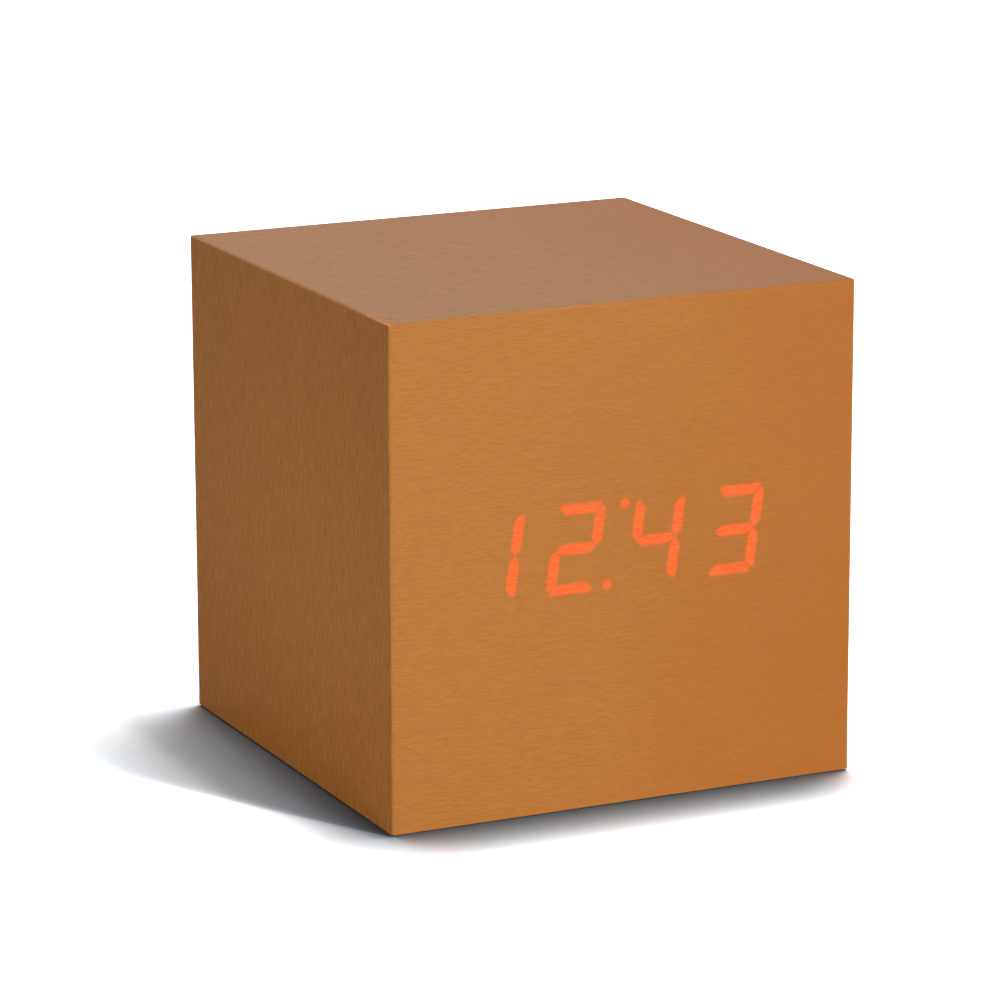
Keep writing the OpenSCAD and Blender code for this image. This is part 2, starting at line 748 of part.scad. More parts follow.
// A cell lies along X with its nub against a contact's bump
module cell(i, jacket) {
    nub_end = bay_w / 2 - contact_t - bump_h;
    translate([0, CELLS[i][0], cell_z]) rotate([0, 0, CELLS[i][1] > 0 ? 0 : 180]) rotate([0, 90, 0]) {
        color(jacket) translate([0, 0, nub_end - cell_l]) cylinder(d = cell_d, h = cell_l - nub_l);
        color(steel_colour) translate([0, 0, nub_end - nub_l - eps]) cylinder(d = nub_d, h = nub_l + eps);
    }
}

module cell_front() cell(0, "#3a4a5a");
module cell_middle() cell(1, "#3a4a5a");
module cell_rear() cell(2, "#3a4a5a");

// The left end of the bay is side -1 and the right end is side 1
module at_end(side) mirror([side < 0 ? 1 : 0, 0, 0]) children();

// A contact plate against one end of the bay, from one cell's middle to another's
module contact_plate(side, from, to) at_end(side) along_x(bay_w / 2 - contact_t, bay_w / 2)
    translate([from - contact_w / 2, cell_z - contact_h / 2]) square([to - from + contact_w, contact_h]);

// A raised spot that touches a cell's nub
module contact_bump(side, y) at_end(side) translate([bay_w / 2 - contact_t + eps, y, cell_z])
    rotate([0, -90, 0]) cylinder(d1 = nub_d, d2 = nub_d / 2, h = bump_h + eps);

// Two outer contacts with tails up to the main board, and two that link neighbouring cells
module contact_plates() color(steel_colour) {
    union() {
        contact_plate(-1, CELLS[0][0], CELLS[0][0]);
        contact_bump(-1, CELLS[0][0]);
        contact_tail(TAILS[0]);
    }
    union() {
        contact_plate(-1, CELLS[1][0], CELLS[2][0]);
        contact_bump(-1, CELLS[2][0]);
    }
    union() {
        contact_plate(1, CELLS[0][0], CELLS[1][0]);
        contact_bump(1, CELLS[1][0]);
    }
    union() {
        contact_plate(1, CELLS[2][0], CELLS[2][0]);
        contact_tail(TAILS[1]);
    }
}

module tail_outline(room) square([contact_t + 2 * room, tail_w + 2 * room], center = true);

module contact_tail(place) along_z(cell_z, pcb_top + tail_out) translate(place) tail_outline(0);

// Springs: a tapering helix of wire from the contact to the cell
spring_sides = 6;
spring_steps = 12;
spring_gap = 0.05;
spring_span = spring_l - wire_d - 2 * spring_gap;
spring_last = spring_steps * spring_turns;

// The middle of the wire after s steps, and the way out from the spring's axis there
function spring_out(s) = [cos(360 * s / spring_steps), sin(360 * s / spring_steps), 0];
function spring_at(s) = let (u = s / spring_last)
    (spring_r + (spring_tip_r - spring_r) * u) * spring_out(s)
    + [0, 0, wire_d / 2 + spring_gap + spring_span * u];
spring_line = [for (s = [0 : spring_last]) spring_at(s)];

// A ring of points round the wire, square to its run
function wire_ring(s) = let (
        out = spring_out(s),
        run = unit(spring_at(s + 0.5) - spring_at(s - 0.5)),
        up = unit(cross(run, out))
    ) [for (k = [0 : spring_sides - 1])
        spring_at(s) + wire_d / 2 * (out * cos(360 * k / spring_sides) + up * sin(360 * k / spring_sides))];

module spring() {
    n = spring_sides;
    points = [for (s = [0 : spring_last]) each wire_ring(s)];
    sides = [for (s = [0 : spring_last - 1], k = [0 : n - 1])
        let (a = s * n + k, b = s * n + (k + 1) % n) each [[a, b, b + n], [a, b + n, a + n]]];
    start = [for (k = [1 : n - 2]) [0, k + 1, k]];
    end = [for (k = [1 : n - 2]) [spring_last * n, spring_last * n + k, spring_last * n + k + 1]];
    polyhedron(points, concat(sides, start, end));
}

// The least gap between two turns of a spring, measured on points of its middle line
spring_least_gap = min([for (s = [0 : spring_last], t = [0 : spring_last])
    if (abs(s - t) > spring_steps / 2) norm(spring_line[s] - spring_line[t]) - wire_d]);
echo(spring_least_gap = spring_least_gap);

module contact_springs() color(steel_colour) for (c = CELLS)
    translate([-c[1] * (bay_w / 2 - contact_t), c[0], cell_z]) rotate([0, 90 * c[1], 0]) spring();

// Main board and what it carries

module main_pcb() color(pcb_colour) along_z(pcb_z, pcb_top) difference() {
    translate([-main_w / 2, main_front_y]) square([main_w, main_back_y - main_front_y]);
    main_posts() circle(d = screw_d + 4 * screw_gap);
    for (place = TAILS) translate(place) tail_outline(tail_gap);
}

module main_pcb_screws() color(steel_colour)
    main_posts() translate([0, 0, pcb_top]) pan_screw(pcb_t + screw_bite);

// A chip with leads along both long sides, standing on the main board
module chip(size, leads) {
    along_z(pcb_top + lead_t / 2, pcb_top + size[2]) square([size[0], size[1]], center = true);
    pitch = size[0] / leads;
    along_z(pcb_top, pcb_top + size[2] / 2) for (i = [0 : leads - 1])
        translate([(i + 0.5) * pitch - size[0] / 2, 0])
            square([pitch / 3, size[1] + 2 * lead_l], center = true);
}

module processor() color(black_colour)
    translate([chips_x + processor_size[0] / 2, 0, 0]) chip(processor_size, 8);

module timekeeper() color(black_colour)
    translate([timekeeper_x + timekeeper_size[0] / 2, 0, 0]) chip(timekeeper_size, 4);

module crystal() color(steel_colour)
    translate([crystal_x, 0, pcb_top + crystal_size[0] / 2])
        rotate([90, 0, 0]) cylinder(d = crystal_size[0], h = crystal_size[1], center = true);

module capacitors() color("#26364a")
    for (side = [-1, 1]) translate([capacitor_x, side * (capacitor_size[0] + part_gap) / 2, pcb_top])
        cylinder(d = capacitor_size[0], h = capacitor_size[1]);

// A cup with an open side, which the backup cell slides into
module coin_holder() color(black_colour) translate([coin_x, 0, 0]) difference() {
    along_z(pcb_top, pcb_top + coin_rim / 2 + coin_t) circle(d = coin_holder_d);
    along_z(pcb_top + coin_rim / 2, pcb_top + coin_t + coin_rim + 1) circle(d = coin_d + 2 * screw_gap);
    along_z(pcb_top + coin_rim / 2, pcb_top + coin_t + coin_rim + 1)
        translate([-coin_holder_d, -coin_d / 4]) square([coin_holder_d, coin_d / 2]);
}

module coin_cell() color(steel_colour) translate([coin_x, 0, pcb_top + coin_rim / 2]) {
    cylinder(d = coin_d, h = coin_t * 0.8);
    cylinder(d = coin_d * 0.88, h = coin_t);
}

module buzzer() color(black_colour) on_display_back(buzzer_x) difference() {
    cylinder(d = buzzer_d, h = buzzer_h);
    translate([0, 0, buzzer_h - 1]) cylinder(d = buzzer_d / 6, h = 2);
}

module microphone() color(steel_colour) on_display_back(mic_x) difference() {
    cylinder(d = mic_d, h = mic_h);
    translate([0, 0, mic_h - 0.3]) cylinder(d = mic_d * 0.6, h = 1);
}

module main_headers() color(black_colour) along_z(pcb_top, pcb_top + header_size[2]) {
    for (y = [front_header_y, rear_header_y]) translate([ribbon_x, y])
        square([header_size[0], header_size[1]], center = true);
}

// Rear controls

function button_place(i) = button_x - i * button_pitch;

module usb_outline(c) {
    w = usb_w / 2 - c;
    h = usb_h / 2 - c;
    polygon([[-w, h], [w, h], [w, -h / 6], [w * 0.78, -h], [-w * 0.78, -h], [-w, -h / 6]]);
}

// A tray let into the window, open inside, with a flange behind the back board
module control_panel() color(black_colour) difference() {
    union() {
        along_back(panel_recess, skin_t + eps) window(panel_gap);
        along_back(skin_t, panel_back_t) translate([0, window_z]) square([flange_w, flange_h], center = true);
        along_back(panel_back_t - eps, control_pcb_t) control_posts() circle(d = post_d);
    }
    along_back(button_stop_t, case_d / 2) translate([0, window_z]) square([cavity_w, cavity_h], center = true);
    for (i = [0 : 2]) on_back(button_place(i), window_z, 0)
        cylinder(d = button_d + 2 * button_gap, h = button_stop_t + 1);
    along_back(0, case_d / 2) translate([-usb_x, window_z])
        square([usb_w + 2 * usb_gap, usb_h + 2 * usb_gap], center = true);
    along_back(skin_t - 1, panel_back_t + 1) panel_holes() circle(d = screw_d + 4 * screw_gap);
    along_back(control_pcb_t - screw_bite - screw_gap, control_pcb_t + 1)
        control_posts() circle(d = screw_d + 2 * screw_gap);
}

// The four places of the control panel's screws, and of the posts that carry the control board
module panel_holes() translate([0, window_z]) at_corners(panel_screw[0], panel_screw[1]) children();
module control_posts() translate([0, window_z]) at_corners(control_post[0], control_post[1]) children();

module panel_screws() color(steel_colour)
    for (i = [-1, 1], j = [-1, 1]) on_back(i * panel_screw[0], window_z + j * panel_screw[1], panel_back_t)
        pan_screw(flange_t + screw_bite);

// A round button with a soft rim and a flange that stops it behind the panel's face
module button(i) color(black_colour) on_back(button_place(i), window_z, panel_recess - button_proud) {
    rim = 0.4;
    reach = button_stop_t - panel_recess + button_proud + screw_gap;
    rotate_extrude() {
        polygon([[0, 0], [button_d / 2 - rim, 0], [button_d / 2, rim], [button_d / 2, reach], [0, reach]]);
        translate([0, reach - eps]) square([button_d / 2 + button_gap + button_lip, button_flange + eps]);
    }
}

module set_button() button(0);
module up_button() button(1);
module down_button() button(2);

module plunger(i) color("#3b3b3f") on_back(button_place(i), window_z, plunger_top_t)
    cylinder(d = plunger_d, h = plunger_h + plunger_foot);

module set_plunger() plunger(0);
module up_plunger() plunger(1);
module down_plunger() plunger(2);

module switch_bodies() color("#2c2c30") for (i = [0 : 2]) on_back(button_place(i), window_z, switch_top_t)
    difference() {
        translate([-switch_w / 2, -switch_w / 2, 0]) cube([switch_w, switch_w, switch_h]);
        translate([0, 0, -1]) cylinder(d = plunger_d + 2 * plunger_gap, h = 1 + plunger_bore);
    }

module control_pcb() color(pcb_colour) along_back(control_pcb_t, control_back_t)
    difference() {
        translate([0, window_z]) square([flange_w, flange_h], center = true);
        control_posts() circle(d = screw_d + 4 * screw_gap);
    }

module control_pcb_screws() color(steel_colour)
    for (i = [-1, 1], j = [-1, 1]) on_back(i * control_post[0], window_z + j * control_post[1], control_back_t)
        pan_screw(pcb_t + screw_bite);

module control_header() color(black_colour) along_back(control_back_t, control_back_t + header_size[2])
    translate([ribbon_x, window_z]) square([header_size[0], header_size[1]], center = true);

// Cable from the control board forward and down to the main board
module control_ribbon() color("#8f9296") mirror([0, 1, 0]) translate([0, -rear_header_y, 0])
    ribbon(window_z);

// Power socket, standing on the control board with its mouth in the panel

module at_socket() translate([-usb_x, 0, window_z]) children();

module power_socket_shell() color(steel_colour) at_socket() along_back(usb_mouth_t, control_pcb_t)
    difference() {
        usb_outline(0);
        usb_outline(usb_wall);
    }

// The tongue stands on the block that fills the bottom of the mouth
module power_socket_tongue() color(black_colour) at_socket() {
    along_back(usb_mouth_t + usb_depth, control_pcb_t) usb_outline(usb_wall + screw_gap);
    along_back(usb_mouth_t + tongue_in, usb_mouth_t + usb_depth + eps) square(tongue_size, center = true);
}

// Five strips along the underside of the tongue
module power_socket_contacts() color("#c9a24a") at_socket()
    along_back(usb_mouth_t + 1.5 * tongue_in, usb_mouth_t + usb_depth)
        for (i = [-2 : 2]) translate([i * tongue_size[0] / 5.5, -tongue_size[1] / 2 - strip_t])
            square([2 * strip_t, strip_t]);

front_board();
top_board();
back_board();
left_board();
right_board();
screw_blocks();
wrap_film();
left_film();
right_film();
lit_segments();
light_guides();
display_reflector();
display_lamps();
display_pcb();
display_spacers();
display_screws();
display_header();
display_ribbon();
base_plate();
base_screws();
feet();
battery_door();
cell_front();
cell_middle();
cell_rear();
contact_plates();
contact_springs();
main_pcb();
main_pcb_screws();
processor();
timekeeper();
crystal();
capacitors();
coin_holder();
coin_cell();
buzzer();
microphone();
main_headers();
control_panel();
panel_screws();
set_button();
up_button();
down_button();
set_plunger();
up_plunger();
down_plunger();
switch_bodies();
control_pcb();
control_pcb_screws();
control_header();
control_ribbon();
power_socket_shell();
power_socket_tongue();
power_socket_contacts();
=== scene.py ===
"""Digital alarm clock: finishes, small pieces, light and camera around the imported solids."""
import math

import bmesh
import bpy
import numpy as np
from mathutils import Matrix, Vector


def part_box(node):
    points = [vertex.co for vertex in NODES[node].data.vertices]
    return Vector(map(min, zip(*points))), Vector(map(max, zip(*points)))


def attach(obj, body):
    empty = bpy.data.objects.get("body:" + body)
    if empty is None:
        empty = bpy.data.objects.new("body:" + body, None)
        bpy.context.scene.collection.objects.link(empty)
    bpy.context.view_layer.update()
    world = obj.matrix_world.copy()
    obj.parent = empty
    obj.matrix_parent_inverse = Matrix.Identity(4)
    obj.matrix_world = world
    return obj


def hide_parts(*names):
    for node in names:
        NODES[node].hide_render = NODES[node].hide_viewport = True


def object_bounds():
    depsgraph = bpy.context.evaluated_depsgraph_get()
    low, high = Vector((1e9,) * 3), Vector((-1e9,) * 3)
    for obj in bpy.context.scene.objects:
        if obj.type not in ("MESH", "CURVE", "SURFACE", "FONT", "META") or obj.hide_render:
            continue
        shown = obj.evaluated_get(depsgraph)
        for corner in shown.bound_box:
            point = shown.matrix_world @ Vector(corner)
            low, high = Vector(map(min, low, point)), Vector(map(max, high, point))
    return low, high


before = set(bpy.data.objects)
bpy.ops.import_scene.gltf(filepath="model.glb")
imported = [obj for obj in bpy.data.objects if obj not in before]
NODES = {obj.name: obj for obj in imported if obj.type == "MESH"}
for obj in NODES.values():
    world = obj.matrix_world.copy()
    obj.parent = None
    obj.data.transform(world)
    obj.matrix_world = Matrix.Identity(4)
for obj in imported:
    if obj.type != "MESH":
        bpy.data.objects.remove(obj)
SOLID_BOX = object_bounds()
MM = 0.001
TAU = 2 * math.pi


# Shader maths

def paint(red, green, blue):
    """A colour given in the 0 to 255 levels of a screen, as the linear values that sockets take."""
    levels = [level / 255 for level in (red, green, blue)]
    return [v / 12.92 if v <= 0.04045 else ((v + 0.055) / 1.055) ** 2.4 for v in levels] + [1.0]


class Value:
    """A shader socket that takes part in sums: each operator adds one Math node."""

    def __init__(self, finish, socket):
        self.finish = finish
        self.socket = socket

    def _math(self, operation, first, second):
        return self.finish.node("Math", {"operation": operation}, {0: first, 1: second})

    def __add__(self, other):
        return self._math("ADD", self, other)

    def __radd__(self, other):
        return self._math("ADD", other, self)

    def __sub__(self, other):
        return self._math("SUBTRACT", self, other)

    def __rsub__(self, other):
        return self._math("SUBTRACT", other, self)

    def __mul__(self, other):
        return self._math("MULTIPLY", self, other)

    def __rmul__(self, other):
        return self._math("MULTIPLY", other, self)

    def __truediv__(self, other):
        return self._math("DIVIDE", self, other)

    def __rtruediv__(self, other):
        return self._math("DIVIDE", other, self)

    def __pow__(self, other):
        return self._math("POWER", self, other)

    def __lt__(self, other):
        return self._math("LESS_THAN", self, other)

    def __gt__(self, other):
        return self._math("GREATER_THAN", self, other)

    def least(self, other):
        return self._math("MINIMUM", self, other)

    def most(self, other):
        return self._math("MAXIMUM", self, other)

    def blended_least(self, other, width):
        """The lesser of two values, eased over a width where they meet."""
        return self.finish.node("Math", {"operation": "SMOOTH_MIN"}, {0: self, 1: other, 2: width})

    def size(self):
        return self.finish.node("Math", {"operation": "ABSOLUTE"}, {0: self})

    def whole(self):
        return self.finish.node("Math", {"operation": "FLOOR"}, {0: self})

    def rest(self):
        return self.finish.node("Math", {"operation": "FRACT"}, {0: self})

    def rise(self, low, high):
        """0 below low, 1 above high and an S-shaped rise between them."""
        return self.finish.node(
            "MapRange", {"interpolation_type": "SMOOTHSTEP"}, {0: self, 1: low, 2: high, 3: 0.0, 4: 1.0})


class Finish:
    """The node tree of one material, or of the world. node() adds any node and gives one of its outputs,
    if it has any."""

    def __init__(self, owner):
        self.owner = owner
        owner.use_nodes = True
        self.tree = owner.node_tree
        self.tree.nodes.clear()

    def node(self, kind, settings, inputs, out=0):
        made = self.tree.nodes.new("ShaderNode" + kind)
        for key, setting in settings.items():
            setattr(made, key, setting)
        for key, given in inputs.items():
            if isinstance(given, Value):
                self.tree.links.new(given.socket, made.inputs[key])
            else:
                made.inputs[key].default_value = given
        return Value(self, made.outputs[out]) if made.outputs else None

    def place(self):
        return self.node("TexCoord", {}, {}, "Object")

    def along_map(self):
        return self.node("TexCoord", {}, {}, "UV")

    def facing(self):
        return self.node("NewGeometry", {}, {}, "Normal")

    def parts(self, vector):
        split = self.node("SeparateXYZ", {}, {0: vector}).socket.node
        return [Value(self, socket) for socket in split.outputs]

    def joined(self, x, y, z):
        return self.node("CombineXYZ", {}, {0: x, 1: y, 2: z})

    def drawn_out(self, vector, lengths):
        """A vector divided by a length in mm along each axis."""
        return self.stretched(vector, [1 / (length * MM) for length in lengths])

    def stretched(self, vector, scale):
        return self.node("VectorMath", {"operation": "MULTIPLY"}, {0: vector, 1: scale})

    def noise(self, vector, scale, detail=2.0, roughness=0.5):
        return self.node(
            "TexNoise", {}, {"Vector": vector, "Scale": scale, "Detail": detail, "Roughness": roughness})

    def specks(self, vector, scale):
        return self.node("TexVoronoi", {"feature": "F1"}, {"Vector": vector, "Scale": scale}, "Distance")

    def chance(self, vector):
        return self.node("TexWhiteNoise", {}, {"Vector": vector})

    def mixed(self, factor, first, second):
        return self.node("Mix", {"data_type": "RGBA"}, {0: factor, 6: first, 7: second}, 2)

    def bump(self, height, distance, strength=1.0):
        return self.node("Bump", {}, {"Height": height, "Distance": distance, "Strength": strength})

    def surface(self, **values):
        """Ends the tree with one shader, whose sockets are named with _ for a space."""
        sockets = {key.replace("_", " "): given for key, given in values.items()}
        self.shown(self.node("BsdfPrincipled", {}, sockets))
        return self.owner

    def shown(self, shader):
        target = "OutputWorld" if isinstance(self.owner, bpy.types.World) else "OutputMaterial"
        self.node(target, {}, {"Surface": shader})


def finish_named(name):
    return Finish(bpy.data.materials.new(name))


# Finishes

BLACK = (0.0, 0.0, 0.0, 1.0)
WHITE = (1.0, 1.0, 1.0, 1.0)
FILM_DEEP = paint(177, 110, 47)
FILM_LIGHT = paint(203, 134, 65)
# Darker ruddy tone, used for random drift and for painted shade towards the right.
FILM_RUDDY = paint(179, 103, 38)
# Colour of the painted sheen on the top.
FILM_PAINTED_SHEEN = paint(200, 176, 150)
# Colour of the painted highlights on the folds and on the front's top edge.
FILM_FOLD_HIGHLIGHT = paint(252, 168, 100)
GLOW_DEEP = paint(244, 84, 30)
GLOW_LIGHT = paint(252, 112, 56)
GLOW_BASE = paint(150, 66, 30)
GLOW_STRENGTH = 0.86
HALF_SIDE = SOLID_BOX[1][0]
TOP_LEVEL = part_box("wrap_film")[1][2]
SKIN = 0.1 * MM
ACROSS_LENGTHS, UPRIGHT_LENGTHS, GRAIN_LENGTHS = (1.3, 0.45, 0.1), (1.0, 0.3, 2.2), (1.3, 0.8, 0.8)
FOLD_IN, FOLD_OUT, CORNER_OUT = 0.1 * MM, 0.42 * MM, 0.4 * MM
BROW_IN, BROW_OUT = 0.05 * MM, 0.22 * MM
# Where the painted highlight on the front's top edge lies.
BROW_HIGHLIGHT_X, BROW_HIGHLIGHT_HALF = -7 * MM, 8 * MM
GLOW_BLUR, GLOW_DEPTH = 0.34 * MM, 1 * MM
DISPLAY_X = -1.5 * MM
DISPLAY_Z = (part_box("lit_segments")[0][2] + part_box("lit_segments")[1][2]) / 2
DIGIT_W, DIGIT_H, DIGIT_PITCH, DIGIT_LEAN = 7.2 * MM, 12 * MM, 11.75 * MM, math.radians(8)
STROKE, STROKE_GAP, SOFT_END, TIP_CUT = 1.35 * MM, 0.16 * MM, 0.45 * MM, 0.62 * MM
DOT_X, DOT_Z, DOT_R = 1.3 * MM, 5.35 * MM, 0.625 * MM
SHOWN = ("bc", "abged", "fgbc", "abgcd")


def depth_in_segment(f, place):
    """How far a point of the front lies inside a lit segment or dot. Lean and pitch are taken out for each
    digit. A segment's depth is the least distance to its sides, to its mitred ends and to the line that
    blunts each outer tip, eased at the corners, and the greatest of all depths counts. Segments go by their
    usual letters: a at the top, b to f on round the digit as a clock's hand turns, and g in the middle."""
    x, _, z = f.parts(place)
    high = z - DISPLAY_Z
    along = x - DISPLAY_X - high * math.tan(DIGIT_LEAN)
    half, mitre, slope = STROKE / 2, STROKE_GAP / math.sqrt(2), math.sqrt(0.5)
    post, bar = DIGIT_W / 2 - half, DIGIT_H / 2 - half
    far, near = math.cos(math.pi / 8), math.sin(math.pi / 8)
    depths = []
    for digit, lit in enumerate(SHOWN):
        across = along - (digit - (len(SHOWN) - 1) / 2) * DIGIT_PITCH
        for letter in lit:
            up = high if letter in "abf" else high * -1
            if letter == "g":
                side = half - high.size()
                ends = [((post - mitre) - across.size() - high.size()) * slope]
            elif letter in "ad":
                side = half - (up - bar).size()
                ends = [(up - across.size() - (bar - post + mitre)) * slope,
                        far * (post + half - mitre - across.size()) + near * (bar + half - up) - TIP_CUT]
            else:
                off = across if letter in "bc" else across * -1
                away = (off - post).size()
                side = half - away
                ends = [(off - up + (bar - post - mitre)) * slope, (up - away - mitre) * slope,
                        near * (post + half - off) + far * (bar + half - mitre - up) - TIP_CUT]
            for end in ends:
                side = side.blended_least(end, SOFT_END)
            depths.append(side)
    for way in (-1, 1):
        off_x, off_z = x - (DISPLAY_X + way * DOT_X), high - way * DOT_Z
        depths.append(DOT_R - (off_x * off_x + off_z * off_z) ** 0.5)
    deepest = depths[0]
    for depth in depths[1:]:
        deepest = deepest.most(depth)
    return deepest


def brushed_film(name, lengths, contrast, gloss, lit):
    """Copper film. Streaks are noises drawn out by different lengths along X, Y and Z, fine ones over broad
    ones, with longer ones and a short grain on the top. The tone drifts at random and turns ruddier and
    darker towards the right, partly as painted shade, and a painted sheen pales the top towards its left.
    The distance to a fold is the greater of the distances to the two faces that meet there. Painted
    highlights, also made metallic, lie along the top's side edges, bright at their front corners, and on a
    short stretch of its front edge, and a paler painted highlight lies along the upright edges. Where lamps
    shine through, it turns orange-red across each segment's blurred outline."""
    f = finish_named(name)
    place = f.place()
    x, y, z = f.parts(place)
    on_top = z > TOP_LEVEL - SKIN
    drawn = f.drawn_out(f.joined(x * (1 - on_top * 0.5), y * (1 + on_top * 0.6), z), lengths)
    fine = f.noise(drawn, 1.0, 1.0)
    broad = f.noise(drawn, 0.4, 1.0)
    grain = f.noise(f.drawn_out(place, GRAIN_LENGTHS), 1.0, 1.0)
    drift = f.noise(place, 40.0, 2.0)
    side = HALF_SIDE - x.size()
    ridge = 1 - side.most(TOP_LEVEL - z).rise(FOLD_IN, FOLD_OUT)
    corner = 1 - side.most(HALF_SIDE - y.size()).rise(FOLD_IN, CORNER_OUT)
    streak = fine * 0.8 + broad * 0.2 + on_top * (grain - broad) * 0.2
    shown = 0.5 + (streak - 0.5) * (contrast + on_top)
    colour = f.mixed(shown.rise(0.25, 0.75), FILM_DEEP, FILM_LIGHT)
    # Ruddier and darker towards the right: random drift, and painted shade where the sheen fades.
    colour = f.mixed((x / HALF_SIDE * 0.4 + drift * 0.4 + 0.3).rise(0.2, 1.1) * 0.7, colour, FILM_RUDDY)
    # Painted sheen: the top is paler towards its left.
    colour = f.mixed(on_top * (1 - x / HALF_SIDE) * 0.065, colour, FILM_PAINTED_SHEEN)
    # Painted highlights along the top's side edges, on a stretch of the front's top edge and along the
    # upright edges; the first two are also made metallic.
    brow = 1 - (y + HALF_SIDE).most(TOP_LEVEL - z).rise(BROW_IN, BROW_OUT)
    painted_brow_highlight = brow * (1 - ((x - BROW_HIGHLIGHT_X) / BROW_HIGHLIGHT_HALF).size().rise(0.1, 1.0)) * 0.34
    painted_edge_highlight = (ridge * (0.3 + broad) * (0.4 + (y / HALF_SIDE * -1).rise(0.6, 1.0) * 0.45)).most(painted_brow_highlight)
    colour = f.mixed(painted_edge_highlight.most(corner * broad * 0.5), colour, FILM_FOLD_HIGHLIGHT)
    sockets = {}
    if lit:
        glow = depth_in_segment(f, place).rise(-GLOW_BLUR, GLOW_BLUR) * (y < GLOW_DEPTH - HALF_SIDE)
        colour = f.mixed(glow, colour, GLOW_BASE)
        light = f.mixed(streak.rise(0.3, 0.7), GLOW_DEEP, GLOW_LIGHT)
        sockets = {"Emission_Color": f.mixed(glow, BLACK, light), "Emission_Strength": GLOW_STRENGTH}
    return f.surface(
        Base_Color=colour,
        Metallic=painted_edge_highlight * 0.9,
        Roughness=0.38 + fine * 0.14,
        Specular_IOR_Level=gloss,
        Normal=f.bump(streak, 0.01 * MM, 0.5),
        **sockets)


def fibreboard():
    """Raw fibreboard: matted fibres from a noise drawn out along X, with darker flecks and a rough face."""
    f = finish_named("fibreboard")
    place = f.place()
    mat = f.noise(f.stretched(place, (900, 2400, 2400)), 1.0, 4.0, 0.65)
    fleck = f.specks(place, 1700.0)
    tone = f.noise(place, 90.0, 3.0)
    colour = f.mixed(mat.rise(0.3, 0.7), paint(124, 92, 62), paint(178, 142, 104))
    colour = f.mixed((1 - fleck.rise(0.1, 0.3)) * tone * 0.8, colour, paint(92, 64, 42))
    return f.surface(
        Base_Color=colour,
        Roughness=0.82 + mat * 0.14,
        Specular_IOR_Level=0.2,
        Normal=f.bump(mat + fleck * 0.4, 0.06 * MM))


def moulded(name, deep, light, grain, rough, shine=0.4):
    """Moulded plastic with an eroded grain: a fine noise for the texture and a broad one for its sheen."""
    f = finish_named(name)
    place = f.place()
    pits = f.noise(place, grain, 3.0, 0.6)
    sheen = f.noise(place, 120.0, 2.0)
    return f.surface(
        Base_Color=f.mixed((pits * 0.6 + sheen * 0.4).rise(0.3, 0.7), deep, light),
        Roughness=rough + (sheen - 0.5) * 0.12 + (pits - 0.5) * 0.1,
        Specular_IOR_Level=shine,
        Normal=f.bump(pits, 0.02 * MM))


DRAWN_ALONG, DRAWN_ACROSS = 400, 9000


def plated(name, deep, light, rough, axis):
    """Plated metal: fine drawn lines along one axis, over a cloudy tarnish that dulls it in places."""
    f = finish_named(name)
    place = f.place()
    scale = [DRAWN_ALONG if letter == axis else DRAWN_ACROSS for letter in "xyz"]
    lines = f.noise(f.stretched(place, scale), 1.0, 2.0)
    tarnish = f.noise(place, 420.0, 3.0)
    return f.surface(
        Base_Color=f.mixed((lines * 0.5 + tarnish * 0.5).rise(0.3, 0.7), deep, light),
        Metallic=1.0,
        Roughness=rough + (tarnish - 0.4) * 0.22 + (lines - 0.5) * 0.1,
        Normal=f.bump(lines, 0.008 * MM))


def milky(name, deep, light):
    """Milky plastic that lets some light through, cloudier in places."""
    f = finish_named(name)
    cloud = f.noise(f.place(), 700.0, 3.0)
    return f.surface(
        Base_Color=f.mixed(cloud.rise(0.3, 0.7), deep, light),
        Roughness=0.28 + cloud * 0.2,
        Subsurface_Weight=0.15,
        Subsurface_Scale=0.4 * MM)


BLOCK_W, BLOCK_H, TRACK_PITCH = 4.2 * MM, 3.1 * MM, 0.8 * MM
TRACK_HALF, PLAIN_BELOW, PLAIN_ABOVE = 0.22, 0.12, 0.82


def circuit_board(name, flat_axes):
    """Board under green mask. The plane is cut into blocks; a random number for each block turns its tracks
    along one axis or the other, or leaves it plain. Faces across the plane show the pale core."""
    f = finish_named(name)
    place = f.place()
    spread = f.parts(place)
    across, along = spread[flat_axes[0]], spread[flat_axes[1]]
    block = f.joined((across / BLOCK_W).whole(), (along / BLOCK_H).whole(), 0.0)
    pick = f.chance(block)
    runs = f.mixed(pick > 0.5, f.joined(across, 0.0, 0.0), f.joined(along, 0.0, 0.0))
    line = (f.parts(runs)[0] / TRACK_PITCH).rest()
    track = ((line - 0.5).size() < TRACK_HALF) * (pick < PLAIN_ABOVE) * (pick > PLAIN_BELOW)
    weave = f.noise(f.stretched(place, (1800, 1800, 1800)), 1.0, 2.0)
    mask = f.mixed(weave.rise(0.3, 0.7), paint(14, 64, 38), paint(22, 84, 50))
    mask = f.mixed(track * 0.75, mask, paint(48, 122, 72))
    turned = f.parts(f.facing())[flat_axes[2]].size()
    colour = f.mixed(turned.rise(0.4, 0.6), paint(176, 164, 112), mask)
    return f.surface(
        Base_Color=colour,
        Roughness=0.34 + weave * 0.16,
        Normal=f.bump(track, 0.035 * MM))


BROAD_RING, BROAD_HALF, THIN_RING, THIN_HALF = 0.58, 0.035, 0.64, 0.008
SEAM_W = 0.006


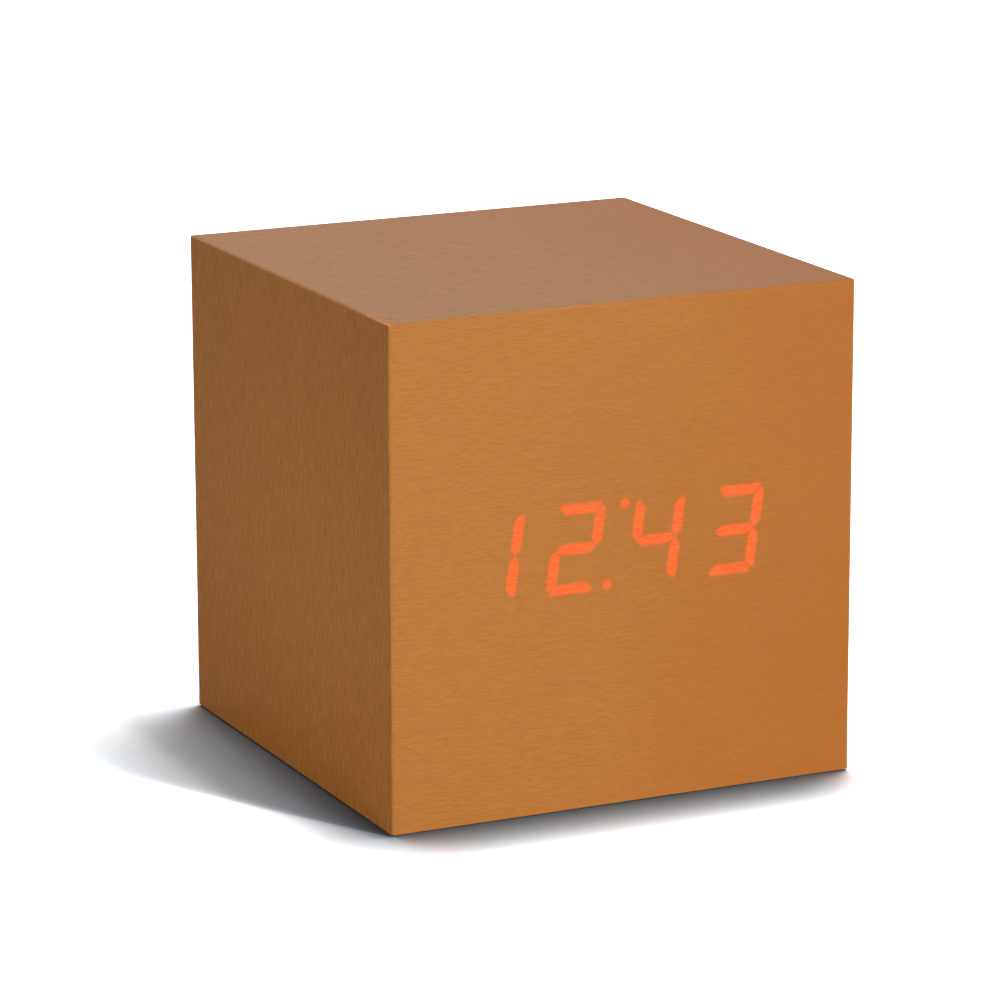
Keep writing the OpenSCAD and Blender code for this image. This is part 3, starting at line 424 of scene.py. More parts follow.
def cell_jacket():
    """Shrunk jacket: green with two pale rings near the nub, placed by the distance along the profile, fine
    lengthwise creases, and a lapped seam where the map begins."""
    f = finish_named("cell_jacket")
    around, along, _ = f.parts(f.along_map())
    wrinkle = f.noise(f.stretched(f.along_map(), (60.0, 6.0, 1.0)), 1.0, 2.0)
    ring = ((along - BROAD_RING).size() < BROAD_HALF).most((along - THIN_RING).size() < THIN_HALF)
    colour = f.mixed(wrinkle.rise(0.3, 0.7), paint(26, 78, 60), paint(34, 94, 72))
    colour = f.mixed(ring, colour, paint(206, 208, 200))
    seam = around.least(1 - around).rise(0.0, SEAM_W)
    return f.surface(
        Base_Color=f.mixed(seam, paint(16, 52, 40), colour),
        Roughness=0.26 + wrinkle * 0.14,
        Coat_Weight=0.3,
        Normal=f.bump(wrinkle * 0.4 + seam * 0.6, 0.04 * MM))


RED_CORE_X = 14.1 * MM


def cable_sleeve():
    """Grey cable with one red edge core, by its place across, and a dull bloom."""
    f = finish_named("cable_sleeve")
    place = f.place()
    across = f.parts(place)[0]
    bloom = f.noise(place, 900.0, 3.0)
    grey = f.mixed(bloom.rise(0.3, 0.7), paint(120, 122, 126), paint(142, 144, 148))
    return f.surface(
        Base_Color=f.mixed(across > RED_CORE_X, grey, paint(168, 46, 40)),
        Roughness=0.4 + bloom * 0.16,
        Normal=f.bump(bloom, 0.02 * MM))


FINISHES = {
    "film_across": brushed_film("brushed_film_across", ACROSS_LENGTHS, 0.55, 0.1, True),
    "film_upright": brushed_film("brushed_film_upright", UPRIGHT_LENGTHS, 0.95, 0.05, False),
    "glow": brushed_film("glowing_film", ACROSS_LENGTHS, 0.55, 0.1, True),
    "fibreboard": fibreboard(),
    "black": moulded("black_moulding", paint(22, 22, 24), paint(32, 32, 34), 5200.0, 0.5),
    "black_smooth": moulded("black_smooth_moulding", paint(16, 16, 18), paint(24, 24, 26), 2600.0, 0.34),
    "black_soft": moulded("black_soft_key", paint(26, 26, 28), paint(36, 36, 38), 7000.0, 0.62, 0.3),
    "grey": moulded("grey_moulding", paint(58, 58, 62), paint(74, 74, 78), 3200.0, 0.45),
    "white": moulded("white_moulding", paint(214, 214, 208), paint(232, 232, 226), 2400.0, 0.42),
    "rubber": moulded("rubber_pad", paint(34, 34, 36), paint(50, 50, 52), 3800.0, 0.85, 0.15),
    "guide": milky("milky_guide", paint(232, 208, 194), paint(246, 228, 216)),
    "lamp": milky("lamp_resin", paint(236, 214, 150), paint(248, 236, 196)),
    "screw": plated("zinc_screw", paint(176, 176, 174), paint(212, 211, 206), 0.3, "z"),
    "contact": plated("nickel_contact", paint(186, 182, 172), paint(222, 218, 208), 0.22, "y"),
    "shell": plated("socket_shell", paint(190, 189, 186), paint(224, 222, 217), 0.2, "y"),
    "gold": plated("gold_contact", paint(214, 166, 84), paint(238, 200, 122), 0.22, "y"),
    "can": plated("steel_can", paint(192, 192, 190), paint(226, 225, 220), 0.24, "z"),
    "board_flat": circuit_board("main_board", (0, 1, 2)),
    "board_upright": circuit_board("upright_board", (0, 2, 1)),
    "print": moulded("key_print", paint(206, 206, 202), paint(226, 226, 222), 2600.0, 0.5, 0.3),
    "jacket": cell_jacket(),
    "cable": cable_sleeve(),
    "chip": moulded("chip_ceramic", paint(30, 28, 28), paint(46, 44, 42), 4200.0, 0.4),
    "solder": plated("solder", paint(176, 178, 180), paint(214, 214, 214), 0.26, "x"),
    "sleeve": moulded("capacitor_sleeve", paint(20, 32, 58), paint(30, 46, 80), 1800.0, 0.3),
}

WEAR = {
    "film_across": "wrap_film",
    "film_upright": "left_film right_film",
    "glow": "lit_segments",
    "fibreboard": "front_board top_board back_board left_board right_board screw_blocks",
    "black": "base_plate battery_door control_panel",
    "black_smooth": "display_header main_headers control_header processor timekeeper coin_holder buzzer"
                    " power_socket_tongue",
    "black_soft": "set_button up_button down_button",
    "grey": "set_plunger up_plunger down_plunger switch_bodies",
    "cable": "display_ribbon control_ribbon",
    "white": "display_reflector display_spacers",
    "rubber": "feet",
    "guide": "light_guides",
    "lamp": "display_lamps",
    "screw": "display_screws base_screws main_pcb_screws panel_screws control_pcb_screws",
    "contact": "contact_plates contact_springs",
    "shell": "power_socket_shell",
    "gold": "power_socket_contacts",
    "can": "crystal coin_cell microphone cell_front cell_middle cell_rear",
    "board_flat": "main_pcb",
    "board_upright": "display_pcb control_pcb",
    "sleeve": "capacitors",
}
for finish, names in WEAR.items():
    for name in names.split():
        NODES[name].data.materials.clear()
        NODES[name].data.materials.append(FINISHES[finish])


# Small pieces: each shape is a grid of points whose neighbours make its faces

SAME_POINT, NO_LENGTH = 1e-6, 1e-7


def lay(name, grids, finish, body="clock", stands_for=(), sharp=35):
    """One mesh from grids of points, given as rows by columns by 3. Row i and column j map to v and u from
    0 to 1. Points that coincide, as at a seam or a pole, are merged, and the faces turned outwards."""
    points, faces, maps, start = [], [], [], 0
    for grid in grids:
        rows, columns = grid.shape[:2]
        i, j = np.meshgrid(np.arange(rows - 1), np.arange(columns - 1), indexing="ij")
        low = (start + i * columns + j).ravel()
        faces.append(np.stack([low, low + 1, low + columns + 1, low + columns], axis=1))
        v, u = np.meshgrid(np.linspace(0, 1, rows), np.linspace(0, 1, columns), indexing="ij")
        maps.append(np.stack([u.ravel(), v.ravel()], axis=1))
        points.append(grid.reshape(-1, 3))
        start += rows * columns
    points, faces, maps = np.concatenate(points), np.concatenate(faces), np.concatenate(maps)
    mesh = bpy.data.meshes.new(name)
    mesh.from_pydata(points.tolist(), [], faces.tolist())
    mesh.uv_layers.new(name="map").data.foreach_set("uv", maps[faces.ravel()].ravel())
    work = bmesh.new()
    work.from_mesh(mesh)
    bmesh.ops.remove_doubles(work, verts=work.verts, dist=SAME_POINT)
    bmesh.ops.dissolve_degenerate(work, edges=work.edges, dist=NO_LENGTH)
    bmesh.ops.recalc_face_normals(work, faces=work.faces)
    work.to_mesh(mesh)
    work.free()
    mesh.polygons.foreach_set("use_smooth", np.ones(len(mesh.polygons), bool))
    mesh.set_sharp_from_angle(angle=math.radians(sharp))
    mesh.materials.append(FINISHES[finish])
    piece = bpy.data.objects.new(name, mesh)
    bpy.context.scene.collection.objects.link(piece)
    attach(piece, body)
    if stands_for:
        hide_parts(*stands_for)
    return piece


def node_points(name):
    """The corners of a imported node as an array."""
    mesh = NODES[name].data
    flat = np.empty(len(mesh.vertices) * 3, np.float32)
    mesh.vertices.foreach_get("co", flat)
    return flat.reshape(-1, 3).astype(float)


def node_box(name):
    """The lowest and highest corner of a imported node's box as arrays."""
    low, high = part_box(name)
    return np.array(low), np.array(high)


def turned(profile, origin, axis, steps=64):
    """A profile of (distance along the axis, radius) pairs turned once about the axis."""
    axis = np.array(axis, float)
    first = np.cross(axis, [0.0, 0.0, 1.0] if abs(axis[2]) < 0.9 else [1.0, 0.0, 0.0])
    second = np.cross(axis, first)
    angle = np.linspace(0, TAU, steps + 1)[None, :, None]
    along, radius = np.array(profile).T[:, :, None, None]
    return np.array(origin) + axis * along + radius * (np.cos(angle) * first + np.sin(angle) * second)


def swept(path, section, sideways, outwards):
    """A closed section of (sideways, outwards) pairs carried along a path and shut at both ends."""
    wide, high = section[None, :, :1], section[None, :, 1:]
    ring = path[:, None] + wide * sideways[:, None] + high * outwards[:, None]
    ends = [np.repeat(path[k][None, None], len(section), axis=1) for k in (0, -1)]
    return np.concatenate([ends[0], ring, ends[1]])


SUNK, MARK_BEVEL = 0.05 * MM, 0.06 * MM


def raised(outline, origin, across, upwards, out, height):
    """A closed outline raised along out: a wall from below the surface, a bevel, and a flat top that is the
    outline drawn in towards its middle."""
    outline = np.concatenate([outline, outline[:1]])
    middle = outline[:-1].mean(axis=0)
    reach = np.linalg.norm(outline - middle, axis=1, keepdims=True)
    inner = middle + (outline - middle) * (1 - MARK_BEVEL / reach)
    levels = [(middle + 0 * outline, -SUNK), (outline, -SUNK), (outline, height - MARK_BEVEL),
              (inner, height), (middle + 0 * outline, height)]
    rows = [np.array(origin) + flat[:, :1] * across + flat[:, 1:] * upwards + level * np.array(out)
            for flat, level in levels]
    return np.stack(rows)


def ring_wall(inner, outer, origin, across, upwards, out, height, steps=48):
    """A flat ring raised along out: a rectangle turned about the middle."""
    section = [(-SUNK, inner), (height, inner), (height, outer), (-SUNK, outer), (-SUNK, inner)]
    angle = np.linspace(0, TAU, steps + 1)[None, :, None]
    level, radius = np.array(section).T[:, :, None, None]
    return (np.array(origin) + radius * (np.cos(angle) * across + np.sin(angle) * upwards)
            + level * np.array(out))


def squared_up(values, power=0.22):
    """Sines or cosines raised to a small power with their signs kept, which turns a circle into a square."""
    return np.sign(values) * np.abs(values) ** power


def rounded_block(size, centre, around=12, rows=5):
    """A block with soft edges: a ball whose sines and cosines are squared up."""
    u = np.linspace(0, TAU, around + 1)[None, :]
    v = np.linspace(-math.pi / 2, math.pi / 2, rows)[:, None]
    ring = squared_up(np.cos(v))
    shape = np.stack([ring * squared_up(np.cos(u)), ring * squared_up(np.sin(u)),
                      squared_up(np.sin(v)) + 0 * u], axis=2)
    return np.array(centre) + shape * np.array(size) / 2


# Cells: a steel can with a crimped nub, in a shrunk jacket whose ends lap over the can's shoulders

CELL_NODES = ("cell_front", "cell_middle", "cell_rear")
NUB_H, NUB_R, NUB_EDGE = 1.0 * MM, 1.9 * MM, 0.4 * MM
CAN_INSET, SHOULDER_IN, SHOULDER_R = 0.12 * MM, 0.2 * MM, 0.6 * MM
DISH_IN, DISH_R = 0.12 * MM, 3.3 * MM
RIM_IN, RIM_EDGE, GROOVE_IN, GROOVE_R = 0.07 * MM, 0.25 * MM, 0.5 * MM, 3.9 * MM
CRIMP_IN, CRIMP_R, CRIMP_EDGE = 0.25 * MM, 3.2 * MM, 0.25 * MM
LAP, LIP, JACKET_EDGE, JACKET_DEPTH = 0.8 * MM, 0.1 * MM, 0.55 * MM, 0.7 * MM
FLAT_LAP_IN, FLAT_LIP_IN, NUB_LAP_IN, NUB_LIP_IN = 0.22 * MM, 0.35 * MM, 0.2 * MM, 0.3 * MM
SLEEVE_IN, SLEEVE_ROWS = 1.4 * MM, 12


def cell_frame(node):
    """The middle of a cell's flat end, the way to its nub, its length without the nub, and its radius. The
    nub's end is the one that lies farther from the middle of the clock."""
    low, high = node_box(node)
    way = 1.0 if high[0] > -low[0] else -1.0
    flat_end = low[0] if way > 0 else high[0]
    middle = (low + high) / 2
    return (np.array([flat_end, middle[1], middle[2]]), np.array([way, 0.0, 0.0]),
            high[0] - low[0] - NUB_H, (high[2] - low[2]) / 2)


def arc(centre, radius, start, stop, steps=6):
    """Points (along, radius) of a quarter or other part of a circle, for a turned profile."""
    angle = np.radians(np.linspace(start, stop, steps))
    return np.stack([centre[0] + radius * np.cos(angle), centre[1] + radius * np.sin(angle)], axis=1)


def can_profile(length, can_r):
    """The can from the middle of its flat end to the middle of its nub: a sunk dish in a round rim, a
    groove, two round shoulders, the crimp round the nub, and the nub's round edge."""
    shoulder, shoulder_r = SHOULDER_IN + SHOULDER_R, can_r - SHOULDER_R
    return np.concatenate([
        [(DISH_IN, 0.0)],
        arc((RIM_IN + RIM_EDGE, DISH_R), RIM_EDGE, 180, 90),
        [(GROOVE_IN, GROOVE_R)],
        arc((shoulder, shoulder_r), SHOULDER_R, 180, 90),
        arc((length - shoulder, shoulder_r), SHOULDER_R, 90, 0),
        [(length - CRIMP_IN, CRIMP_R), (length - CRIMP_IN, NUB_R + CRIMP_EDGE)],
        arc((length - SHOULDER_IN + CRIMP_EDGE, NUB_R + CRIMP_EDGE), CRIMP_EDGE, 270, 180)[::-1],
        arc((length + NUB_H - NUB_EDGE, NUB_R - NUB_EDGE), NUB_EDGE, 90, 0),
        [(length + NUB_H, 0.0)]])


def jacket_profile(length, radius):
    """The jacket's outside from one lapped end to the other, and back inside the can, where none of it
    shows."""
    edge, edge_r = SHOULDER_IN + JACKET_EDGE, radius - JACKET_EDGE
    sleeve = np.linspace(SLEEVE_IN, length - SLEEVE_IN, SLEEVE_ROWS)
    outside = np.concatenate([
        [(FLAT_LIP_IN, radius - LAP - LIP), (FLAT_LAP_IN, radius - LAP)],
        arc((edge, edge_r), JACKET_EDGE, 180, 90),
        np.stack([sleeve, np.full(SLEEVE_ROWS, radius)], axis=1),
        arc((length - edge, edge_r), JACKET_EDGE, 90, 0),
        [(length - NUB_LAP_IN, radius - LAP), (length - NUB_LIP_IN, radius - LAP - LIP)]])
    inside_r = radius - CAN_INSET - JACKET_DEPTH
    inside = [(outside[-1, 0] - LIP, inside_r), (outside[0, 0] + LIP, inside_r)]
    return np.concatenate([outside, inside, outside[:1]])


for cell in CELL_NODES:
    flat_end, way, length, radius = cell_frame(cell)
    can = turned(can_profile(length, radius - CAN_INSET), flat_end, way)
    jacket = turned(jacket_profile(length, radius), flat_end, way)
    lay(cell + "_can", [can], "can", stands_for=(cell,))
    lay(cell + "_jacket", [jacket], "jacket", stands_for=(cell,))


# Springs: wire wound on a taper, closer at both ends, from the contact plate to the cell

WIRE_R, SPRING_BASE_R, SPRING_TIP_R, SPRING_TURNS = 0.25 * MM, 3.4 * MM, 1.8 * MM, 5
TIP_ROOM = 0.06 * MM


def run_of(path):
    """The direction of a path at each of its points, from its neighbours."""
    run = np.gradient(path, axis=0)
    return run / np.linalg.norm(run, axis=1, keepdims=True)


def coil(cell):
    """A round wire on a helix whose radius falls evenly from the plate to the cell. Its climb is the share
    of the turns less half a sine wave of one period, which closes the turns up at both ends."""
    flat_end, way, _, _ = cell_frame(cell)
    low, high = node_box("contact_springs")
    base = np.array([high[0] if way[0] < 0 else low[0], flat_end[1], flat_end[2]])
    reach = abs(flat_end[0] - base[0]) - 2 * WIRE_R - TIP_ROOM
    share = np.linspace(0, 1, SPRING_TURNS * 30 + 1)
    angle = TAU * SPRING_TURNS * share
    radius = SPRING_BASE_R + (SPRING_TIP_R - SPRING_BASE_R) * share
    outwards = np.stack([0 * share, np.cos(angle), np.sin(angle)], axis=1)
    climb = WIRE_R + reach * (share - 0.5 * np.sin(TAU * share) / TAU)
    path = base + climb[:, None] * way + radius[:, None] * outwards
    turn = np.linspace(0, TAU, 13)
    section = WIRE_R * np.stack([np.cos(turn), np.sin(turn)], axis=1)
    return swept(path, section, np.cross(run_of(path), outwards), outwards)


lay("spring_coils", [coil(cell) for cell in CELL_NODES], "contact",
    stands_for=("contact_springs",), sharp=60)


# Flat cables: ten round cores joined by thin webs, from a board's header round a bend to the main board

CORES, CORE_R, WEB_HALF, EDGE_HALF = 10, 0.5 * MM, 0.16 * MM, 0.05 * MM
CABLE_BEND = 3.0 * MM


def cable_section(width):
    """The half height over the width is that of the nearest core, a circle, or of the web between cores."""
    pitch = width / CORES
    x = np.linspace(-width / 2, width / 2, CORES * 10 + 1)
    off = ((x / pitch) % 1 - 0.5) * pitch
    half = np.maximum(WEB_HALF, np.sqrt(np.maximum(CORE_R ** 2 - off ** 2, 0)))
    half[[0, -1]] = EDGE_HALF
    section = np.concatenate([np.stack([x, half], axis=1), np.stack([x, -half], axis=1)[::-1]])
    return np.concatenate([section, section[:1]])


def cable(name, node, way):
    """A cable that runs level along Y, the way that is given, then round a quarter circle and straight
    down."""
    low, high = node_box(node)
    level = high[2] - CORE_R
    start, drop = (low[1], high[1] - CORE_R) if way > 0 else (high[1], low[1] + CORE_R)
    turn = np.linspace(0, math.pi / 2, 13)
    bend_y, bend_z = drop - way * CABLE_BEND, level - CABLE_BEND
    flat = np.linspace(start, bend_y, 4)[:-1]
    down = np.linspace(bend_z, low[2], 8)[1:]
    y = np.concatenate([flat, bend_y + way * CABLE_BEND * np.sin(turn), np.full(len(down), drop)])
    z = np.concatenate([np.full(len(flat), level), bend_z + CABLE_BEND * np.cos(turn), down])
    path = np.stack([np.full(len(y), (low[0] + high[0]) / 2), y, z], axis=1)
    sideways = np.repeat([[1.0, 0.0, 0.0]], len(path), axis=0)
    carried = swept(path, cable_section(high[0] - low[0]), sideways, np.cross(run_of(path), sideways))
    lay(name, [carried], "cable", stands_for=(node,), sharp=50)


cable("display_cable", "display_ribbon", 1)
cable("control_cable", "control_ribbon", -1)


# Marks: a clock on the set key, arrows on the other two, and moulded signs on the battery door

RIGHT, BACKWARDS, UP = np.eye(3)
KEY_MARK_H, ARROW_H, SIGN_H = 0.1 * MM, 0.18 * MM, 0.15 * MM
DIAL_IN, DIAL_OUT, HAND_W = 1.25 * MM, 1.55 * MM, 0.26 * MM
LONG_HAND, LONG_HAND_UP = 0.95 * MM, 0.36 * MM
SHORT_HAND, SHORT_HAND_OUT, SHORT_HAND_DOWN = 0.7 * MM, 0.3 * MM, 0.02 * MM
KEY_ARROW = (2.7 * MM, 2.3 * MM)
DOOR_ARROW, DOOR_ARROW_IN = (5 * MM, 4 * MM), 10 * MM
SIGN_L, SIGN_W, SIGN_SHARE = 2.6 * MM, 0.6 * MM, 0.06
QUARTER = math.pi / 2
BLUNT = 0.1


def triangle(width, height):
    """A triangle about its middle, pointing up, with two points near each corner to blunt it."""
    corners = np.array([(-width / 2, -height / 3), (width / 2, -height / 3), (0, 2 * height / 3)])
    before, after = np.roll(corners, 1, axis=0), np.roll(corners, -1, axis=0)
    blunt = np.stack([corners + (before - corners) * BLUNT, corners + (after - corners) * BLUNT], axis=1)
    return blunt.reshape(-1, 2)


def bar(length, width):
    """A bar about its middle, along the first axis."""
    return np.array([(-length, -width), (length, -width), (length, width), (-length, width)]) / 2


def key_face(node):
    """The middle of a key's outer face."""
    low, high = node_box(node)
    return np.array([(low[0] + high[0]) / 2, high[1], (low[2] + high[2]) / 2])


def spun(outline, turn):
    """An outline turned about its middle by an angle."""
    return outline @ np.array([(math.cos(turn), math.sin(turn)), (-math.sin(turn), math.cos(turn))])


def on_key(outline, face, shift=(0.0, 0.0)):
    """An outline raised on a key's outer face, seen from behind the clock."""
    return raised(outline + np.array(shift), face, -RIGHT, UP, BACKWARDS, KEY_MARK_H)


face = key_face("set_button")
lay("set_mark", [
    ring_wall(DIAL_IN, DIAL_OUT, face, -RIGHT, UP, BACKWARDS, KEY_MARK_H),
    on_key(spun(bar(LONG_HAND, HAND_W), QUARTER), face, (0.0, LONG_HAND_UP)),
    on_key(bar(SHORT_HAND, HAND_W), face, (SHORT_HAND_OUT, -SHORT_HAND_DOWN))],
    "print", "set_key")
lay("up_mark", [on_key(triangle(*KEY_ARROW), key_face("up_button"))],
    "print", "up_key")
lay("down_mark", [on_key(spun(triangle(*KEY_ARROW), math.pi), key_face("down_button"))],
    "print", "down_key")

door_low, door_high = node_box("battery_door")
arrow_spot = (0.0, door_high[1] - DOOR_ARROW_IN, door_low[2])
lay("door_arrow", [raised(triangle(*DOOR_ARROW), arrow_spot, RIGHT, BACKWARDS, -UP, ARROW_H)],
    "black", "door")
signs = []
for cell in CELL_NODES:
    flat_end, way, length, _ = cell_frame(cell)
    for share, turns in ((SIGN_SHARE, [0.0]), (1 - SIGN_SHARE, [0.0, QUARTER])):
        spot = np.array([flat_end[0] + way[0] * length * share, flat_end[1], door_high[2]])
        signs += [raised(spun(bar(SIGN_L, SIGN_W), turn), spot, RIGHT, BACKWARDS, UP, SIGN_H)
                  for turn in turns]
lay("door_signs", signs, "black", "door")


# Parts on the boards: small chips with tinned ends, their rows and places in mm, and solder round the tails

CHIP_L, CHIP_W, CHIP_H = 1.6 * MM, 0.8 * MM, 0.5 * MM
BODY_SHARE, END_SHARE, END_OFF, BODY_THIN = 0.72, 0.22, 0.39, 0.94
TURNED_SHARE = 0.35
MAIN_ROWS, MAIN_PLACES = (-10.2, -6.2, 6.2, 9.4), np.arange(0.5, 26, 3.4)
CONTROL_ROWS, CONTROL_PLACES = (29.5, 39.0), np.arange(-19, 20, 4.6)
DISPLAY_ROWS, DISPLAY_PLACES = (27.5, 44.6), np.arange(-17, 16, 4.1)
SOLDER_H, SOLDER_SPREAD, TAIL_R = 0.75 * MM, 1.5 * MM, 0.35 * MM

chance = np.random.default_rng(12)
bodies, ends = [], []


def chips(spots, normal):
    """Chips on a board, each along one of the board's two axes by a random number: a block for the body and
    one for each end."""
    flat = [axis for axis in range(3) if normal[axis] == 0]
    for spot in spots:
        long = flat[int(chance.random() < TURNED_SHARE)]
        size = np.full(3, CHIP_W)
        size[long] = CHIP_L
        size[np.abs(normal) > 0] = CHIP_H
        centre = np.array(spot) + normal * CHIP_H / 2
        inner = size * BODY_THIN
        inner[long] = CHIP_L * BODY_SHARE
        bodies.append(rounded_block(inner, centre))
        for way in (-1, 1):
            cap = size.copy()
            cap[long] = CHIP_L * END_SHARE
            shift = np.zeros(3)
            shift[long] = way * CHIP_L * END_OFF
            ends.append(rounded_block(cap, centre + shift))


top = node_box("main_pcb")[1][2]
chips([(x * MM, y * MM, top) for y in MAIN_ROWS for x in MAIN_PLACES], UP)
face_y = node_box("control_pcb")[0][1]
chips([(x * MM, face_y, z * MM) for z in CONTROL_ROWS for x in CONTROL_PLACES], -BACKWARDS)
face_y = node_box("display_pcb")[1][1]
chips([(x * MM, face_y, z * MM) for z in DISPLAY_ROWS for x in DISPLAY_PLACES], BACKWARDS)
lay("board_chips", bodies, "chip", sharp=50)
lay("board_chip_ends", ends, "solder", sharp=50)

tails = node_points("contact_plates")
tails = tails[tails[:, 2] > top]
solder = []
for way in (-1, 1):
    tail = tails[tails[:, 0] * way > 0]
    middle = (tail.min(axis=0) + tail.max(axis=0)) / 2
    share = np.linspace(0, 1, 8)
    fillet = np.stack([SOLDER_H * share, SOLDER_SPREAD * (1 - share) ** 2 + TAIL_R], axis=1)
    fillet = np.concatenate([[(0.0, 0.0)], fillet, [(SOLDER_H, 0.0)]])
    solder.append(turned(fillet, (middle[0], middle[1], top), UP, 32))
lay("tail_solder", solder, "solder", sharp=50)


# Floor, light and camera

CENTRE = Vector((0.0, 0.0, TOP_LEVEL - HALF_SIDE))
KEY_AZIMUTH = 26.0
WORLD_LEVEL = 0.096
WORLD_TINT = (0.94, 1.0, 1.05, 1.0)


def towards(azimuth, elevation):
    """The direction that points from the clock to a lamp or camera; azimuth 0 is the front, 90 the right."""
    a, e = math.radians(azimuth), math.radians(elevation)
    return Vector((math.sin(a) * math.cos(e), -math.cos(a) * math.cos(e), math.sin(e)))


def softbox(name, azimuth, elevation, distance, level, width, height):
    """A lamp that faces the clock. At level 1 it alone shows a surface turned to it as bright as that
    surface's colour: the power is level * (pi * distance) squared."""
    lamp = bpy.data.lights.new(name, "AREA")
    lamp.shape = "RECTANGLE"
    lamp.size = width
    lamp.size_y = height
    lamp.energy = level * (math.pi * distance) ** 2
    lit = bpy.data.objects.new(name, lamp)
    lit.location = CENTRE + towards(azimuth, elevation) * distance
    lit.rotation_euler = towards(azimuth, elevation).to_track_quat("Z", "Y").to_euler()
    bpy.context.scene.collection.objects.link(lit)
    return lit


softbox("key_lamp", KEY_AZIMUTH, 52.0, distance=1.5, level=0.216, width=0.05, height=0.3)
softbox("front_lamp", 24.0, 7.0, distance=2.0, level=0.92, width=1.2, height=1.2)
softbox("left_lamp", -86.0, -11.0, distance=0.15, level=0.133, width=0.06, height=0.01)
softbox("back_lamp", 128.0, 60.0, distance=1.5, level=0.243, width=0.9, height=0.9)
rear_lamp = softbox("rear_lamp", 180.0, 3.0, distance=2.0, level=0.42, width=0.8, height=0.12)
rear_lamp.visible_glossy = False
softbox("under_lamp", 20.0, -60.0, distance=1.0, level=0.6, width=0.6, height=0.6)

world = bpy.data.worlds.new("studio")
bpy.context.scene.world = world
sky = Finish(world)


def rays(finish):
    """Whether a ray comes straight from the camera, and whether it was mirrored or bent by glass."""
    straight, mirrored, bent = [finish.node("LightPath", {}, {}, out) for out in
                                ("Is Camera Ray", "Is Glossy Ray", "Is Transmission Ray")]
    return straight, mirrored.most(bent)


by_eye, by_mirror = rays(sky)
by_lens = by_eye.most(by_mirror)
sky.shown(sky.node("Background", {}, {
    "Color": sky.mixed(by_lens, WORLD_TINT, WHITE),
    "Strength": WORLD_LEVEL + by_lens * (1 - WORLD_LEVEL)}))

FLOOR_PALE, FLOOR_MIRRORED = (0.8, 0.8, 0.8, 1.0), (1.2, 1.2, 1.2, 1.0)
FLOOR_SEEN, FLOOR_IN_FRONT = (4.0, 4.0, 4.0, 1.0), (3.05, 3.85, 4.35, 1.0)
FLOOR_BY_LINE = (3.5, 4.0, 4.4, 1.0)
SIDE_NEAR, SIDE_FAR = (3.9, 5.5, 7.1, 1.0), (2.3, 2.95, 3.4, 1.0)
SHADE_LEAN, SHADE_REACH, SHADE_SAMPLES = (0.3, 0.57, 0.765), 14.5 * MM, 24
SHADE_POWER, SHADE_LEAST = 2.7, 0.41


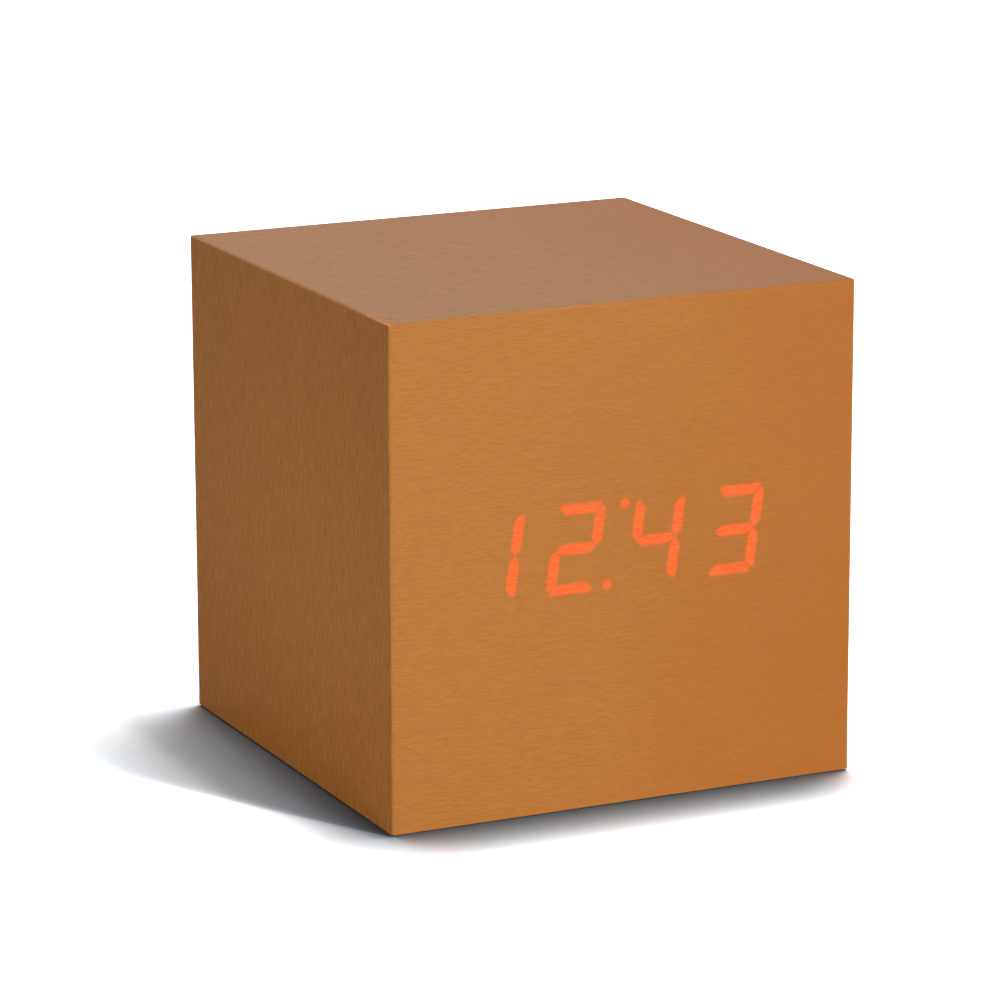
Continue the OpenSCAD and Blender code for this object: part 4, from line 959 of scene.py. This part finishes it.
def studio_floor():
    """White floor for the camera, pale for the light that it throws back, and clear from below. Its shade
    is how open each point is, raised to a power, and leans towards the clock's back right, so it is deepest
    by the left front corner. Under the clock's edge it is kept from going black. Cool tints take out the
    brown that the film throws on the floor: in front of the clock, and to its left along and past the line
    in which the key lamp's shadow ends, which starts at the left front corner. Left of the clock that tint
    is also lower, most towards the front, which paints the shadow there darker."""
    f = finish_named("studio_floor")
    x, y, _ = f.parts(f.place())
    openness = f.node("AmbientOcclusion", {"samples": SHADE_SAMPLES},
                      {"Distance": SHADE_REACH, "Normal": f.joined(*SHADE_LEAN)}, "AO")
    turn = math.radians(KEY_AZIMUTH)
    past_line = (x + HALF_SIDE) * math.cos(turn) + (y + HALF_SIDE) * math.sin(turn)
    off_side = -HALF_SIDE - x
    in_front = (1 - openness.rise(0.7, 1.0)) * (1 - x.size().rise(22 * MM, 36 * MM))
    by_line = (1 - past_line.size().rise(1 * MM, 10 * MM)) * off_side.rise(-8 * MM, 2 * MM)
    by_side = (1 - off_side.rise(8 * MM, 34 * MM)) * (1 - y.rise(14 * MM, 44 * MM)) * (off_side > 0)
    cool_painted_shade = f.mixed(off_side.rise(3 * MM, 12 * MM), SIDE_NEAR, SIDE_FAR)
    # Painted shade: the tint left of the clock falls towards the front, darkening the shadow there.
    cool_painted_shade = f.stretched(cool_painted_shade, y / HALF_SIDE * 0.305 + 0.695)
    tint = f.mixed(in_front, FLOOR_SEEN, FLOOR_IN_FRONT)
    tint = f.mixed(by_line, tint, FLOOR_BY_LINE)
    tint = f.mixed(past_line.rise(-2.5 * MM, 1.5 * MM) * by_side, tint, cool_painted_shade)
    under = x.size().most(y.size()) < HALF_SIDE
    shade = f.mixed(openness.most(under * SHADE_LEAST) ** SHADE_POWER, BLACK, tint)
    straight, mirrored = rays(f)
    colour = f.mixed(straight, f.mixed(mirrored, FLOOR_PALE, FLOOR_MIRRORED), shade)
    white = f.node("BsdfDiffuse", {}, {"Color": colour})
    clear = f.node("BsdfTransparent", {}, {})
    behind = f.node("NewGeometry", {}, {}, "Backfacing")
    f.shown(f.node("MixShader", {}, {0: behind, 1: white, 2: clear}))
    return f.owner


# The floor is open under the clock, where it can't be seen, and there the lamp below lights the underside

FLOOR_HALF, OPEN_INSET = 6.0, 1.5 * MM
square = np.array([(-1.0, -1, 0), (1, -1, 0), (1, 1, 0), (-1, 1, 0)])
floor_mesh = bpy.data.meshes.new("floor")
floor_mesh.from_pydata(
    np.concatenate([square * FLOOR_HALF, square * (HALF_SIDE - OPEN_INSET)]).tolist(), [],
    [(0, 1, 5, 4), (1, 2, 6, 5), (2, 3, 7, 6), (3, 0, 4, 7)])
floor_mesh.materials.append(studio_floor())
floor = bpy.data.objects.new("floor", floor_mesh)
bpy.context.scene.collection.objects.link(floor)

CAMERA_AZIMUTH, CAMERA_ELEVATION, CAMERA_ROLL = -25.456, 13.906, -0.127
CAMERA_DISTANCE = 647.84 * MM
camera = bpy.data.cameras.new("camera")
camera.sensor_width = 36.0
camera.lens = 169.11
camera.shift_x = -0.01503
camera.shift_y = -0.00154
camera.clip_start = 0.05
camera.clip_end = 20.0
viewer = bpy.data.objects.new("camera", camera)
back = towards(CAMERA_AZIMUTH, CAMERA_ELEVATION)
turn = (-back).to_track_quat("-Z", "Y").to_matrix() @ Matrix.Rotation(math.radians(CAMERA_ROLL), 3, "Z")
viewer.location = CENTRE + back * CAMERA_DISTANCE
viewer.rotation_euler = turn.to_euler()
bpy.context.scene.collection.objects.link(viewer)
bpy.context.scene.camera = viewer
bpy.context.scene.view_settings.view_transform = "Standard"
